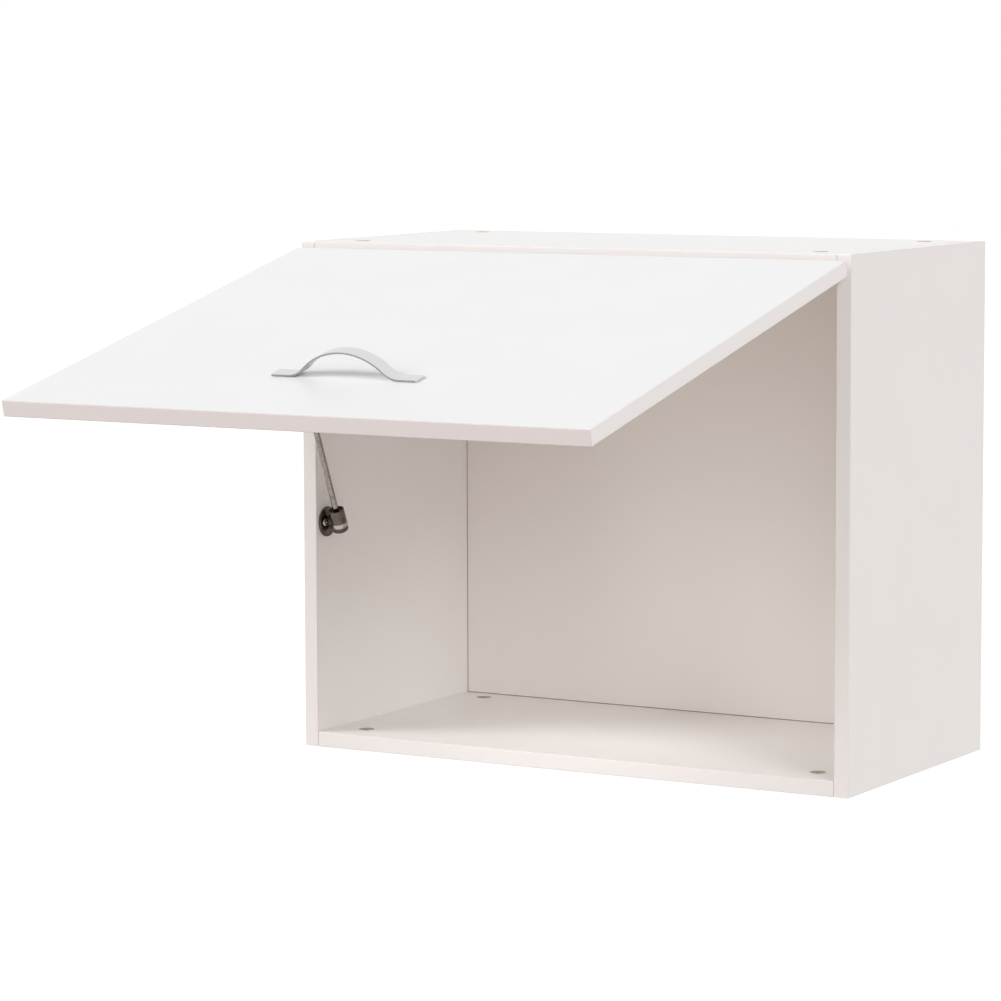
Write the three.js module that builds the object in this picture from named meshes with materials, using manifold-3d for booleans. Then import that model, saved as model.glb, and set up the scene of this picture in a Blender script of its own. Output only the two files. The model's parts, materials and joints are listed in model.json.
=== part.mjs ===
// A lift-up wall cabinet: a white melamine-faced box, a top-hung door on two concealed cup hinges,
// a braked flap stay on the left side, a strap handle, and two adjustable hangers for the wall.
// Millimetres. X runs left to right, Y from the open front back to the wall, Z up.
// The origin is the middle of the bottom board's rear edge, in the wall plane.
// The door is drawn closed inside its own group, and that group is turned open about the door pivot.

import * as THREE from "three";
import { mergeVertices } from "three/addons/utils/BufferGeometryUtils.js";
import Module from "manifold-3d";

const wasm = await Module();
wasm.setup();

// ---- Carcass ----
const cabinetWidth = 600;
const cabinetHeight = 505;
const cabinetDepth = 306;
const boardThickness = 15;
const jointGap = 0.3; // between the boards where they meet
const seatGap = 0.3; // between a fitting and the face it is fixed to
const overrun = 1; // how far a cutter runs past the face it cuts

// ---- Back panel, held in grooves ----
const backThickness = 3;
const backSetIn = 9.8; // from the wall plane to the panel's rear face
const grooveDepth = 6;
const grooveClearance = 0.3;

// ---- Cam fittings that pull the boards together ----
const camSetIn = 34; // from a board's end to the cam's centre
const camFromEdge = 37; // from the front or rear edge to the cam's centre
const camRadius = 7.5;
const camDepth = 12;
const camSunk = 0.3; // from the board's face down to the cam's top
const camChamfer = 0.4;
const camBoreClearance = 0.2;
const camBoreFloorClearance = 0.4;
const camSlotReach = 4.6;
const camSlotWidth = 2.2;
const camSlotDepth = 2.5;
const boltThreadRadius = 3;
const boltThreadLength = 10.5;
const boltNeckRadius = 2.1;
const boltNeckLength = 5.5;
const boltHeadRadius = 3.3;
const boltHeadLength = 3;
const boltClearance = 0.25;
const boltEndClearance = 0.7;
const boltTipTaper = 1;
const boltChannelRadius = 4;

// ---- Door ----
const doorSideReveal = 1.5; // from the cabinet's side to the door's end
const doorThickness = 15;
const doorTopGap = 2.5; // from the cabinet's top to the closed door's top edge
const doorBottomGap = 6;
const doorFrontGap = 2.5; // from the closed door's inner face to the carcass
const openAngle = 76.5; // degrees from closed, as far as the stay lets the door go
const pivotBelowDoorTop = 7;
const pivotBehindDoorFace = 2.5;

// ---- Concealed hinges ----
const hingeFromSide = 100; // from the cabinet's outer side to the hinge's middle
const cupRadius = 17.35;
const cupWall = 1.3;
const cupCavityDepth = 11.3;
const cupFloor = 0.7;
const cupFromDoorTop = 3.4; // from the door's top edge to the cup's rim
const cupBoreClearance = 0.3;
const cupFlangeThickness = 1.2;
const cupFlangeRadius = 18.6;
const cupEarHalfLength = 31;
const cupEarRadius = 7;
const cupScrewSpacing = 48;
const cupScrewOffset = 6; // the screws sit this far below the cup's centre
const plateLength = 54;
const plateWidth = 13;
const plateThickness = 3.4;
const plateWingSpan = 46;
const plateWingWidth = 13;
const plateFromFront = 37; // from the carcass front to the plate's middle
const plateScrewSpacing = 32;
const armHalfWidth = 8.2;
const armSlotHalfWidth = 6.3;
const armBackLength = 60;
const armHeight = 9;
const armSlotLength = 14;
const armNoseTaper = 4; // from the slot's end to where the nose begins
const innerPinBack = 4; // the link pins in the arm's nose, from the carcass front
const innerPinDown = 14; // and below the top board
const outerPinBack = 1;
const outerPinDown = 20;
const noseMargin = 3.2; // metal round the pins
const innerReach = 8; // from the door pivot to each link's far end
const outerReach = 7;
const linkHalfThickness = 1.5;
const linkWidth = 4.2;
const linkApart = 1.2;
const innerLinkBow = 6.5;
const outerLinkBow = 5.5;
const linkPinRadius = 1.6;
const linkPinClearance = 0.3;
const linkPinRoot = 1; // how deep the pin is set in its link
const linkPinSetIn = 0.4; // from the arm's outer face to the pin's end

// ---- Handle ----
const handleLength = 150;
const handleHoleSpacing = 128;
const handleWidth = 16;
const handleThickness = 2;
const handleRise = 24.6; // to the strap's outer face
const handleTabLength = 18;
const handleFootRadius = 24; // the hollow bend above each tab
const handleFromDoorBottom = 106.5;
const handleBossRadius = 4;
const handleBossLength = 3;
const handleBossClearance = 0.3;
const handleScrewRadius = 2;
const handleScrewBite = 3.4;
const handleScrewHeadRadius = 4.2;
const handleScrewHeadHeight = 2.4;
const handleScrewClearance = 0.4;

// ---- Flap stay, on the left side only ----
const stayFromFront = 18.5; // the swivel's centre, from the carcass front
const stayAboveUnderside = 225;
const stayBaseRadius = 15;
const stayBaseThickness = 3;
const stayBaseChamfer = 1.6;
const stayBossRadius = 5;
const stayBossHeight = 2.5;
const stayScrewSpacing = 18;
const stayBarrelRadius = 8.2;
const stayBarrelFoot = 0.9; // from the swivel's centre up to the barrel's lower end
const stayBarrelLength = 13.5;
const stayBarrelChamfer = 1;
const stayMouthRadius = 6.5; // the barrel's open upper end
const stayMouthDepth = 2.6;
const stayStubRadius = 6.3;
const stayStubReach = 8.5; // from the rod's axis to the stub's flat end
const stayBoreClearance = 0.25;
const stayRingRadius = 8.6;
const stayRingHeight = 5;
const stayRodRadius = 3;
const stayBufferRadius = 8;
const stayBufferHeight = 5;
const stayBufferSocket = 3; // how deep the rod is set in it
const stayBufferRound = 2.6;
const stayEyeRadius = 6;
const stayPinRadius = 2.5;
const stayPinHeadRadius = 4.2;
const stayPinHeadHeight = 1.6;
const stayPinHeadChamfer = 0.8;
const stayPinTail = 1; // how far the pin stands past the far ear
const stayPinClearance = 0.3;
const bracketBelowDoorTop = 80;
const bracketStandoff = 11; // from the door's inner face to the pin's axis
const bracketLength = 44;
const bracketWidth = 22;
const bracketThickness = 2;
const bracketEarRadius = 6.5;
const bracketScrewSpacing = 30;

// ---- Wood screws ----
const screwHeadRadius = 3.4;
const screwHeadHeight = 1.9;
const screwShankRadius = 1.6;
const screwLength = 11;
const screwHoleClearance = 0.35;
const screwTipClearance = 1;
const screwRecessReach = 1.9;
const screwRecessWidth = 0.9;
const screwRecessDepth = 1.1;

// ---- Cabinet hangers ----
const hangerWidth = 17;
const hangerDepth = 42;
const hangerHeight = 58;
const hangerBelowTop = 5; // from the top board to the housing
const hangerDowelRadius = 5;
const hangerDowelLength = 10;
const hangerDowelSpacing = 32;
const hangerDowelClearance = 0.25;
const hangerDowelEndClearance = 0.5;
const hangerSlotWidth = 4;
const hangerSlotHeight = 42;
const hangerSlotDepth = 33;
const hookThickness = 3;
const hookBodyHeight = 24;
const hookBodyLength = 27;
const hookNeckHeight = 10;
const hookClawThickness = 3;
const hookClawDrop = 12;
const hookFromWall = 2.5; // from the claw to the wall plane
const hookTravel = 6; // up and down from the middle
const hookClearance = 0.5;
const hangerScrewRadius = 3;
const hangerScrewHeadRadius = 4.5;
const hangerScrewHeadHeight = 2.5;
const hangerScrewClearance = 0.3;

// ---- Places worked out from the sizes ----
const outerX = cabinetWidth / 2;
const innerX = outerX - boardThickness;
const frontY = -cabinetDepth;
const undersideZ = -boardThickness / 2;
const topZ = undersideZ + cabinetHeight;
const ceilingZ = topZ - boardThickness; // the top board's underside
const floorZ = undersideZ + boardThickness; // the bottom board's upper face
const backRearY = -backSetIn;
const backFrontY = backRearY - backThickness;
const camYs = { front: frontY + camFromEdge, rear: -camFromEdge };
const camRows = { top: topZ, bottom: floorZ };
const doorWidth = cabinetWidth - 2 * doorSideReveal;
const doorHeight = cabinetHeight - doorTopGap - doorBottomGap;
const pivotY = frontY - doorFrontGap - doorThickness + pivotBehindDoorFace;
const pivotZ = topZ - doorTopGap - pivotBelowDoorTop;
const openTurn = THREE.MathUtils.degToRad(openAngle);

// The closed door in its own group, whose origin is the door pivot.
const doorTop = pivotBelowDoorTop;
const doorBottom = doorTop - doorHeight;
const doorOuter = -pivotBehindDoorFace;
const doorInner = doorOuter + doorThickness;
const cupZ = doorTop - cupFromDoorTop - cupRadius;
const handleZ = doorBottom + handleFromDoorBottom;
const bracketZ = doorTop - bracketBelowDoorTop;
const bracketY = doorInner + bracketStandoff;

// The stay: its swivel on the left side, its pin on the open door, and the rod between them.
const stayX = -innerX + seatGap + stayBaseThickness + stayBossHeight + seatGap + stayStubReach;
const stayY = frontY + stayFromFront;
const stayZ = undersideZ + stayAboveUnderside;
const pinY = pivotY + bracketY * Math.cos(openTurn) + bracketZ * Math.sin(openTurn);
const pinZ = pivotZ - bracketY * Math.sin(openTurn) + bracketZ * Math.cos(openTurn);
const stayLength = Math.hypot(pinY - stayY, pinZ - stayZ);
const stayTilt = Math.atan2(stayY - pinY, pinZ - stayZ);

// ---- Materials ----
const finishes = {
  melamine: new THREE.MeshStandardMaterial({ color: 0xf2f0ee, roughness: 0.45 }),
  hardboard: new THREE.MeshStandardMaterial({ color: 0xe6dfd8, roughness: 0.6 }),
  satinMetal: new THREE.MeshStandardMaterial({ color: 0xc9c9c8, roughness: 0.35, metalness: 1 }),
  nickel: new THREE.MeshStandardMaterial({ color: 0xb9b4ac, roughness: 0.28, metalness: 1 }),
  darkNickel: new THREE.MeshStandardMaterial({ color: 0x5a5550, roughness: 0.35, metalness: 1 }),
  chrome: new THREE.MeshStandardMaterial({ color: 0xd8d8d8, roughness: 0.12, metalness: 1 }),
  whitePlastic: new THREE.MeshStandardMaterial({ color: 0xefefed, roughness: 0.5 }),
  darkPlastic: new THREE.MeshStandardMaterial({ color: 0x3d3a37, roughness: 0.55 }),
  zincSteel: new THREE.MeshStandardMaterial({ color: 0xa9a9a6, roughness: 0.4, metalness: 1 }),
};

// ---- Geometry helpers ----

// Keeps only positions, merges shared corners and makes every face look outwards.
function closed(geometry) {
  const bare = geometry.clone();
  bare.deleteAttribute("normal");
  bare.deleteAttribute("uv");
  const merged = mergeVertices(bare, 1e-4);
  const p = merged.attributes.position;
  const index = merged.index.array;
  const a = new THREE.Vector3();
  const b = new THREE.Vector3();
  const c = new THREE.Vector3();
  let volume = 0;
  const kept = [];
  for (let i = 0; i < index.length; i += 3) {
    const [u, v, w] = [index[i], index[i + 1], index[i + 2]];
    if (u === v || v === w || w === u) continue;
    kept.push(u, v, w);
    a.fromBufferAttribute(p, u);
    b.fromBufferAttribute(p, v);
    c.fromBufferAttribute(p, w);
    volume += a.dot(b.cross(c));
  }
  if (volume < 0) kept.reverse();
  merged.setIndex(kept);
  return merged;
}

function toSolid(geometry) {
  const shell = closed(geometry);
  return new wasm.Manifold(
    new wasm.Mesh({
      numProp: 3,
      vertProperties: new Float32Array(shell.attributes.position.array),
      triVerts: new Uint32Array(shell.index.array),
    }),
  );
}

function toGeometry(solid) {
  const mesh = solid.getMesh();
  const positions = new THREE.BufferAttribute(new Float32Array(mesh.vertProperties), 3);
  const geometry = new THREE.BufferGeometry().setAttribute("position", positions);
  return geometry.setIndex(new THREE.BufferAttribute(new Uint32Array(mesh.triVerts), 1));
}

function join(...geometries) {
  return toGeometry(geometries.map(toSolid).reduce((sum, next) => sum.add(next)));
}

function cut(geometry, ...cutters) {
  return toGeometry(cutters.map(toSolid).reduce((rest, next) => rest.subtract(next), toSolid(geometry)));
}

// A box between two corners, given in either order.
function block(x0, x1, y0, y1, z0, z1) {
  const box = new THREE.BoxGeometry(Math.abs(x1 - x0), Math.abs(y1 - y0), Math.abs(z1 - z0));
  return box.translate((x0 + x1) / 2, (y0 + y1) / 2, (z0 + z1) / 2);
}

// A surface of revolution about Z from [radius, height] pairs that start and end on the axis.
function turned(profile, sides = 20) {
  const points = profile.map(([radius, height]) => new THREE.Vector2(radius, height));
  return closed(new THREE.LatheGeometry(points, sides).rotateX(Math.PI / 2));
}

function bar(radius, from, to, sides = 16) {
  return turned([[0, from], [radius, from], [radius, to], [0, to]], sides);
}

// A tube with a bore all through.
function tube(outer, inner, from, to, sides = 24) {
  return turned([[inner, from], [outer, from], [outer, to], [inner, to], [inner, from]], sides);
}

// Turns a shape made along +Z to face along a direction, and sets it at a point.
function aimed(geometry, direction, x, y, z) {
  const turn = new THREE.Quaternion().setFromUnitVectors(new THREE.Vector3(0, 0, 1), direction);
  return geometry.clone().applyQuaternion(turn).translate(x, y, z);
}

const right = new THREE.Vector3(1, 0, 0);
const left = new THREE.Vector3(-1, 0, 0);
const back = new THREE.Vector3(0, 1, 0);
const front = new THREE.Vector3(0, -1, 0);
const up = new THREE.Vector3(0, 0, 1);
const down = new THREE.Vector3(0, 0, -1);

// An outline in (y, z), given thickness from x0 to x1.
function sideProfile(shape, x0, x1, curveSegments = 8) {
  const plate = new THREE.ExtrudeGeometry(shape, { depth: x1 - x0, bevelEnabled: false, curveSegments });
  const stand = new THREE.Matrix4().makeBasis(back, up, right);
  return closed(plate.applyMatrix4(stand).translate(x0, 0, 0));
}

function polygon(points) {
  return new THREE.Shape(points.map(([a, b]) => new THREE.Vector2(a, b)));
}

// A flat bar with round ends, lying along X in the XY plane, from z0 to z1.
function roundEnded(halfLength, radius, z0, z1) {
  const shape = new THREE.Shape();
  const straight = halfLength - radius;
  shape.moveTo(-straight, -radius);
  shape.lineTo(straight, -radius);
  shape.absarc(straight, 0, radius, -Math.PI / 2, Math.PI / 2, false);
  shape.lineTo(-straight, radius);
  shape.absarc(-straight, 0, radius, Math.PI / 2, (3 * Math.PI) / 2, false);
  const plate = new THREE.ExtrudeGeometry(shape, { depth: z1 - z0, bevelEnabled: false, curveSegments: 8 });
  return closed(plate.translate(0, 0, z0));
}

function named(name, geometry, material) {
  const mesh = new THREE.Mesh(closed(geometry), material);
  mesh.name = name;
  mesh.geometry.computeVertexNormals();
  return mesh;
}

function piece(group, name, geometry, material) {
  group.add(named(name, geometry, material));
}

// ---- Screws ----

// Cuts a cross-shaped recess down from the top.
function crossed(body, reach, width, bottom, top) {
  const half = width / 2;
  return cut(
    body,
    block(-reach, reach, -half, half, bottom, top + overrun),
    block(-half, half, -reach, reach, bottom, top + overrun),
  );
}

function recessed(body, headHeight) {
  return crossed(body, screwRecessReach, screwRecessWidth, headHeight - screwRecessDepth, headHeight);
}

// A pan-head wood screw, head up, with its seat at height 0.
function woodScrew() {
  const tip = -screwLength;
  const body = turned(
    [
      [0, tip],
      [screwShankRadius, tip + 2 * screwShankRadius],
      [screwShankRadius, 0],
      [screwHeadRadius, 0],
      [screwHeadRadius, screwHeadHeight * 0.45],
      [screwHeadRadius * 0.6, screwHeadHeight],
      [0, screwHeadHeight],
    ],
    12,
  );
  return recessed(body, screwHeadHeight);
}

// The hole a wood screw needs, from its tip to above its seat.
function screwHole(above = overrun) {
  return bar(screwShankRadius + screwHoleClearance, -screwLength - screwTipClearance, above, 10);
}

// ---- Carcass boards ----

function sideBoard(side) {
  const inner = side * innerX;
  const board = block(inner, side * outerX, frontY, 0, undersideZ, topZ);
  const groove = block(
    inner - side * overrun,
    inner + side * (grooveDepth + grooveClearance),
    backFrontY - grooveClearance,
    backRearY + grooveClearance,
    floorZ - grooveDepth - grooveClearance,
    ceilingZ + grooveDepth + grooveClearance,
  );
  const outwards = side > 0 ? right : left;
  const holes = [];
  for (const z of [topZ - boardThickness / 2, undersideZ + boardThickness / 2]) {
    for (const y of Object.values(camYs)) {
      const depth = boltThreadLength + boltEndClearance;
      const threadHole = bar(boltThreadRadius + boltClearance, -overrun, depth, 12);
      holes.push(aimed(threadHole, outwards, inner, y, z));
    }
  }
  for (const z of hangerDowelZs()) {
    const depth = hangerDowelLength + hangerDowelEndClearance;
    const dowelHole = bar(hangerDowelRadius + hangerDowelClearance, -overrun, depth, 14);
    holes.push(aimed(dowelHole, outwards, inner, hangerMidY(), z));
  }
  if (side < 0) {
    for (const y of stayScrewYs()) holes.push(aimed(screwHole(), right, inner + stayScrewSeat(), y, stayZ));
  }
  return cut(board, groove, ...holes);
}

// The top or the bottom board. Its cams are bored from above, and its groove faces the inside.
function levelBoard(row) {
  const upper = camRows[row];
  const lower = upper - boardThickness;
  const endX = innerX - jointGap;
  const board = block(-endX, endX, frontY, 0, lower, upper);
  const inside = row === "top" ? lower : upper;
  const into = row === "top" ? 1 : -1;
  const groove = block(
    -innerX - overrun,
    innerX + overrun,
    backFrontY - grooveClearance,
    backRearY + grooveClearance,
    inside - into * overrun,
    inside + into * (grooveDepth + grooveClearance),
  );
  const cutters = [groove];
  for (const side of [-1, 1]) {
    for (const y of Object.values(camYs)) {
      const camX = side * (innerX - camSetIn);
      const camBore = bar(camRadius + camBoreClearance, -camDepth - camBoreFloorClearance, overrun, 24);
      cutters.push(camBore.translate(camX, y, upper));
      const channel = bar(boltChannelRadius, -overrun, camSetIn, 12);
      cutters.push(aimed(channel, side > 0 ? left : right, side * innerX, y, (upper + lower) / 2));
    }
  }
  if (row === "top") {
    const seat = ceilingZ - 2 * seatGap - plateThickness;
    for (const x of hingeXs().flatMap(plateScrewXs)) {
      cutters.push(aimed(screwHole(0), down, x, frontY + plateFromFront, seat));
    }
  }
  return cut(board, ...cutters);
}

function backPanel() {
  const halfWidth = innerX + grooveDepth;
  const panel = block(
    -halfWidth,
    halfWidth,
    backFrontY,
    backRearY,
    floorZ - grooveDepth,
    ceilingZ + grooveDepth,
  );
  const halfNotch = hangerSlotWidth / 2 + hookClearance;
  const reach = hookNeckHeight / 2 + hookTravel + hookClearance;
  const low = hangerMidZ() - reach;
  const high = hangerMidZ() + reach;
  const notches = [-1, 1].map((side) => {
    const x = hangerMidX(side);
    return block(x - halfNotch, x + halfNotch, backFrontY - overrun, backRearY + overrun, low, high);
  });
  return cut(panel, ...notches);
}

// ---- Cam fittings ----

// Axis up, the board's face at height 0, and the pocket for the bolt's head open towards -X.
function cam() {
  const body = turned(
    [
      [0, -camDepth],
      [camRadius, -camDepth],
      [camRadius, -camSunk - camChamfer],
      [camRadius - camChamfer, -camSunk],
      [0, -camSunk],
    ],
    24,
  );
  const half = boltHeadRadius + boltClearance;
  const middle = -boardThickness / 2;
  const pocket = block(-camRadius - overrun, boltHeadLength, -half, half, middle - half, middle + half);
  return crossed(cut(body, pocket), camSlotReach, camSlotWidth, -camSunk - camSlotDepth, -camSunk);
}

// Axis along +Z, the side board's inner face at height 0, the head at the cam.
function camBolt() {
  const headStart = camSetIn - boltHeadLength / 2;
  const neckStart = headStart - boltNeckLength;
  return turned(
    [
      [0, -boltThreadLength],
      [boltThreadRadius - boltTipTaper, -boltThreadLength],
      [boltThreadRadius, -boltThreadLength + boltTipTaper],
      [boltThreadRadius, neckStart],
      [boltNeckRadius, neckStart],
      [boltNeckRadius, headStart],
      [boltHeadRadius, headStart],
      [boltHeadRadius, headStart + boltHeadLength],
      [0, headStart + boltHeadLength],
    ],
    12,
  );
}

function addCams(cabinet) {
  for (const [row, upper] of Object.entries(camRows)) {
    for (const [end, y] of Object.entries(camYs)) {
      for (const [hand, side] of [["left", -1], ["right", 1]]) {
        const camX = side * (innerX - camSetIn);
        const turnedCam = cam().rotateZ(side > 0 ? Math.PI : 0);
        piece(cabinet, `cam_${row}_${end}_${hand}`, turnedCam.translate(camX, y, upper), finishes.nickel);
        const inwards = side > 0 ? left : right;
        const bolt = aimed(camBolt(), inwards, side * innerX, y, upper - boardThickness / 2);
        piece(cabinet, `cam_bolt_${row}_${end}_${hand}`, bolt, finishes.zincSteel);
      }
    }
  }
}

// ---- Door ----

function hingeXs() {
  return [-outerX + hingeFromSide, outerX - hingeFromSide];
}

function handleHoleXs() {
  return [-handleHoleSpacing / 2, handleHoleSpacing / 2];
}

function doorPanel() {
  const panel = block(-doorWidth / 2, doorWidth / 2, doorOuter, doorInner, doorBottom, doorTop);
  const cutters = [];
  for (const x of hingeXs()) {
    const depth = cupCavityDepth + cupFloor + cupBoreClearance;
    const bore = bar(cupRadius + cupBoreClearance, -depth, overrun, 36);
    cutters.push(aimed(bore, back, x, doorInner, cupZ));
    for (const screwX of cupScrewXs(x)) {
      cutters.push(aimed(screwHole(0), back, screwX, cupScrewSeat(), cupZ - cupScrewOffset));
    }
  }
  for (const x of handleHoleXs()) {
    const depth = handleBossLength + handleBossClearance;
    const bossHole = bar(handleBossRadius + handleBossClearance, -overrun, depth, 16);
    cutters.push(aimed(bossHole, back, x, doorOuter, handleZ));
    const through = bar(handleScrewRadius + handleScrewClearance, 0, doorThickness + overrun, 12);
    cutters.push(aimed(through, back, x, doorOuter, handleZ));
  }
  for (const z of bracketScrewZs()) {
    cutters.push(aimed(screwHole(0), back, stayX, bracketScrewSeat(), z));
  }
  return cut(panel, ...cutters);
}

// ---- Handle ----

// The strap's edge view: a flat tab, a hollow bend up into a round arch, and the same again mirrored.
// The bend and the arch share a tangent, so the arch's radius follows from the span and the rise.
function handleOutline() {
  const half = handleLength / 2;
  const halfSpan = half - handleTabLength;
  const rise = handleRise - handleThickness;
  const sweep = 2 * Math.atan2(rise, halfSpan);
  const radii = halfSpan / Math.sin(sweep); // hollow bend plus arch, on the strap's underside
  const bend = handleFootRadius;
  const arch = radii - bend;
  const t = handleThickness;
  const quarter = Math.PI / 2;
  const shape = new THREE.Shape();
  shape.moveTo(-half, 0);
  shape.lineTo(-halfSpan, 0);
  shape.absarc(-halfSpan, bend, bend, -quarter, -quarter + sweep, false);
  shape.absarc(0, bend - radii * Math.cos(sweep), arch, quarter + sweep, quarter - sweep, true);
  shape.absarc(halfSpan, bend, bend, -quarter - sweep, -quarter, false);
  shape.lineTo(half, 0);
  shape.lineTo(half, t);
  shape.lineTo(halfSpan, t);
  shape.absarc(halfSpan, bend, bend - t, -quarter, -quarter - sweep, true);
  shape.absarc(0, bend - radii * Math.cos(sweep), arch + t, quarter - sweep, quarter + sweep, false);
  shape.absarc(-halfSpan, bend, bend - t, -quarter + sweep, -quarter, true);
  shape.lineTo(-half, t);
  return shape;
}

function handle() {
  const strap = new THREE.ExtrudeGeometry(handleOutline(), {
    depth: handleWidth,
    bevelEnabled: false,
    curveSegments: 12,
  });
  const outwards = new THREE.Matrix4().makeBasis(right, front, down);
  strap.applyMatrix4(outwards);
  strap.translate(0, doorOuter - seatGap, handleZ + handleWidth / 2);
  const boss = bar(handleBossRadius, -handleThickness / 2, handleBossLength, 16);
  const threadEnd = handleBossLength - handleScrewBite - handleScrewClearance;
  const thread = bar(handleScrewRadius + screwHoleClearance, threadEnd, handleBossLength + overrun, 12);
  const atHoles = (shape) => handleHoleXs().map((x) => aimed(shape, back, x, doorOuter - seatGap, handleZ));
  return cut(join(strap, ...atHoles(boss)), ...atHoles(thread));
}

// Its head seats on the door's inner face, and it reaches through the door into the handle's boss.
function handleScrew() {
  const reach = doorThickness + seatGap + seatGap - handleBossLength + handleScrewBite;
  const body = turned(
    [
      [0, -reach],
      [handleScrewRadius, -reach],
      [handleScrewRadius, 0],
      [handleScrewHeadRadius, 0],
      [handleScrewHeadRadius * 0.9, handleScrewHeadHeight * 0.6],
      [handleScrewHeadRadius * 0.55, handleScrewHeadHeight],
      [0, handleScrewHeadHeight],
    ],
    16,
  );
  return recessed(body, handleScrewHeadHeight);
}

// ---- Hinges ----

function cupScrewXs(x) {
  return [x - cupScrewSpacing / 2, x + cupScrewSpacing / 2];
}

function cupScrewSeat() {
  return doorInner + 2 * seatGap + cupFlangeThickness;
}

// Axis along +Z out of the door, the door's inner face at height 0, the ears along X. On the door the
// cup's own +Y points down, so its ears lie below its centre.
function hingeCup() {
  const lift = seatGap;
  const topFace = lift + cupFlangeThickness;
  const bowl = bar(cupRadius, -cupCavityDepth - cupFloor, topFace, 36);
  const rim = bar(cupFlangeRadius, lift, topFace, 36);
  const ears = roundEnded(cupEarHalfLength, cupEarRadius, lift, topFace).translate(0, cupScrewOffset, 0);
  const cavity = bar(cupRadius - cupWall, -cupCavityDepth, topFace + overrun, 32);
  const holes = cupScrewXs(0).map((x) => screwHole().translate(x, cupScrewOffset, topFace));
  return cut(join(bowl, rim, ears), cavity, ...holes);
}

// A cross-shaped plate under the top board, its screws in the wings.
function hingePlate(x) {
  const high = ceilingZ - seatGap;
  const low = high - plateThickness;
  const midY = frontY + plateFromFront;
  const stem = block(
    x - plateWidth / 2,
    x + plateWidth / 2,
    midY - plateLength / 2,
    midY + plateLength / 2,
    low,
    high,
  );
  const wings = roundEnded(plateWingSpan / 2, plateWingWidth / 2, low, high).translate(x, midY, 0);
  const holes = plateScrewXs(x).map((sx) => aimed(screwHole(), down, sx, midY, low));
  return cut(join(stem, wings), ...holes);
}

function plateScrewXs(x) {
  return [x - plateScrewSpacing / 2, x + plateScrewSpacing / 2];
}

// The arm lies under its plate and drops to a slotted nose that carries both links' pins.
function hingeArm(x) {
  const high = ceilingZ - 2 * seatGap - plateThickness;
  const low = high - armHeight;
  const noseZ = ceilingZ - outerPinDown - noseMargin;
  const outline = polygon([
    [frontY + armBackLength, high],
    [frontY + innerPinBack + noseMargin, high],
    [frontY + innerPinBack - noseMargin, ceilingZ - innerPinDown + noseMargin * 0.8],
    [frontY + outerPinBack - noseMargin * 0.7, ceilingZ - outerPinDown],
    [frontY + outerPinBack, noseZ],
    [frontY + outerPinBack + 2 * noseMargin, noseZ],
    [frontY + armSlotLength + armNoseTaper, low],
    [frontY + armBackLength, low],
  ]);
  const blank = sideProfile(outline, x - armHalfWidth, x + armHalfWidth);
  const slot = block(
    x - armSlotHalfWidth,
    x + armSlotHalfWidth,
    frontY - armSlotLength,
    frontY + armSlotLength,
    noseZ - overrun,
    high + overrun,
  );
  const pinHole = bar(linkPinRadius + linkPinClearance, -armHalfWidth - overrun, 0, 14);
  const innerHole = aimed(pinHole, right, x, frontY + innerPinBack, ceilingZ - innerPinDown);
  const outerHole = aimed(pinHole, left, x, frontY + outerPinBack, ceilingZ - outerPinDown);
  return cut(blank, slot, innerHole, outerHole);
}

// Where a link's far end lies when the door is open, seen from the door pivot. The distance from the
// arm's pin to it is the same open and closed, so the pin lies on the bisector of the two directions.
function linkEnd(pinFromPivotY, pinFromPivotZ, reach) {
  const bisector = Math.atan2(pinFromPivotZ, pinFromPivotY);
  const open = bisector - openTurn / 2;
  return { y: reach * Math.cos(open), z: reach * Math.sin(open) };
}

// A curved strap from its pin in the arm to its end in the cup, bowed below the straight line.
function hingeLink(x, pinBack, pinDown, reach, bow, side) {
  const startY = frontY + pinBack;
  const startZ = ceilingZ - pinDown;
  const end = linkEnd(startY - pivotY, startZ - pivotZ, reach);
  const endY = pivotY + end.y;
  const endZ = pivotZ + end.z;
  const chord = Math.hypot(endY - startY, endZ - startZ);
  const radius = (chord * chord) / (8 * bow) + bow / 2;
  const alongY = (endY - startY) / chord;
  const alongZ = (endZ - startZ) / chord;
  const centreY = (startY + endY) / 2 + alongZ * (radius - bow);
  const centreZ = (startZ + endZ) / 2 - alongY * (radius - bow);
  const from = Math.atan2(startZ - centreZ, startY - centreY);
  const to = Math.atan2(endZ - centreZ, endY - centreY);
  const h = linkHalfThickness;
  const clockwise = true;
  const shape = new THREE.Shape();
  shape.absarc(centreY, centreZ, radius + h, from, to, clockwise);
  shape.absarc(endY, endZ, h, to, to + Math.PI, clockwise);
  shape.absarc(centreY, centreZ, radius - h, to, from, !clockwise);
  shape.absarc(startY, startZ, h, from + Math.PI, from, clockwise);
  const near = (side * linkApart) / 2;
  const far = near + side * linkWidth;
  const strap = sideProfile(shape, x + Math.min(near, far), x + Math.max(near, far), 6);
  const root = far - side * linkPinRoot;
  const pinLength = armHalfWidth - linkPinSetIn - Math.abs(root);
  const pin = bar(linkPinRadius, 0, pinLength, 14);
  return join(strap, aimed(pin, side > 0 ? right : left, x + root, startY, startZ));
}

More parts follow.
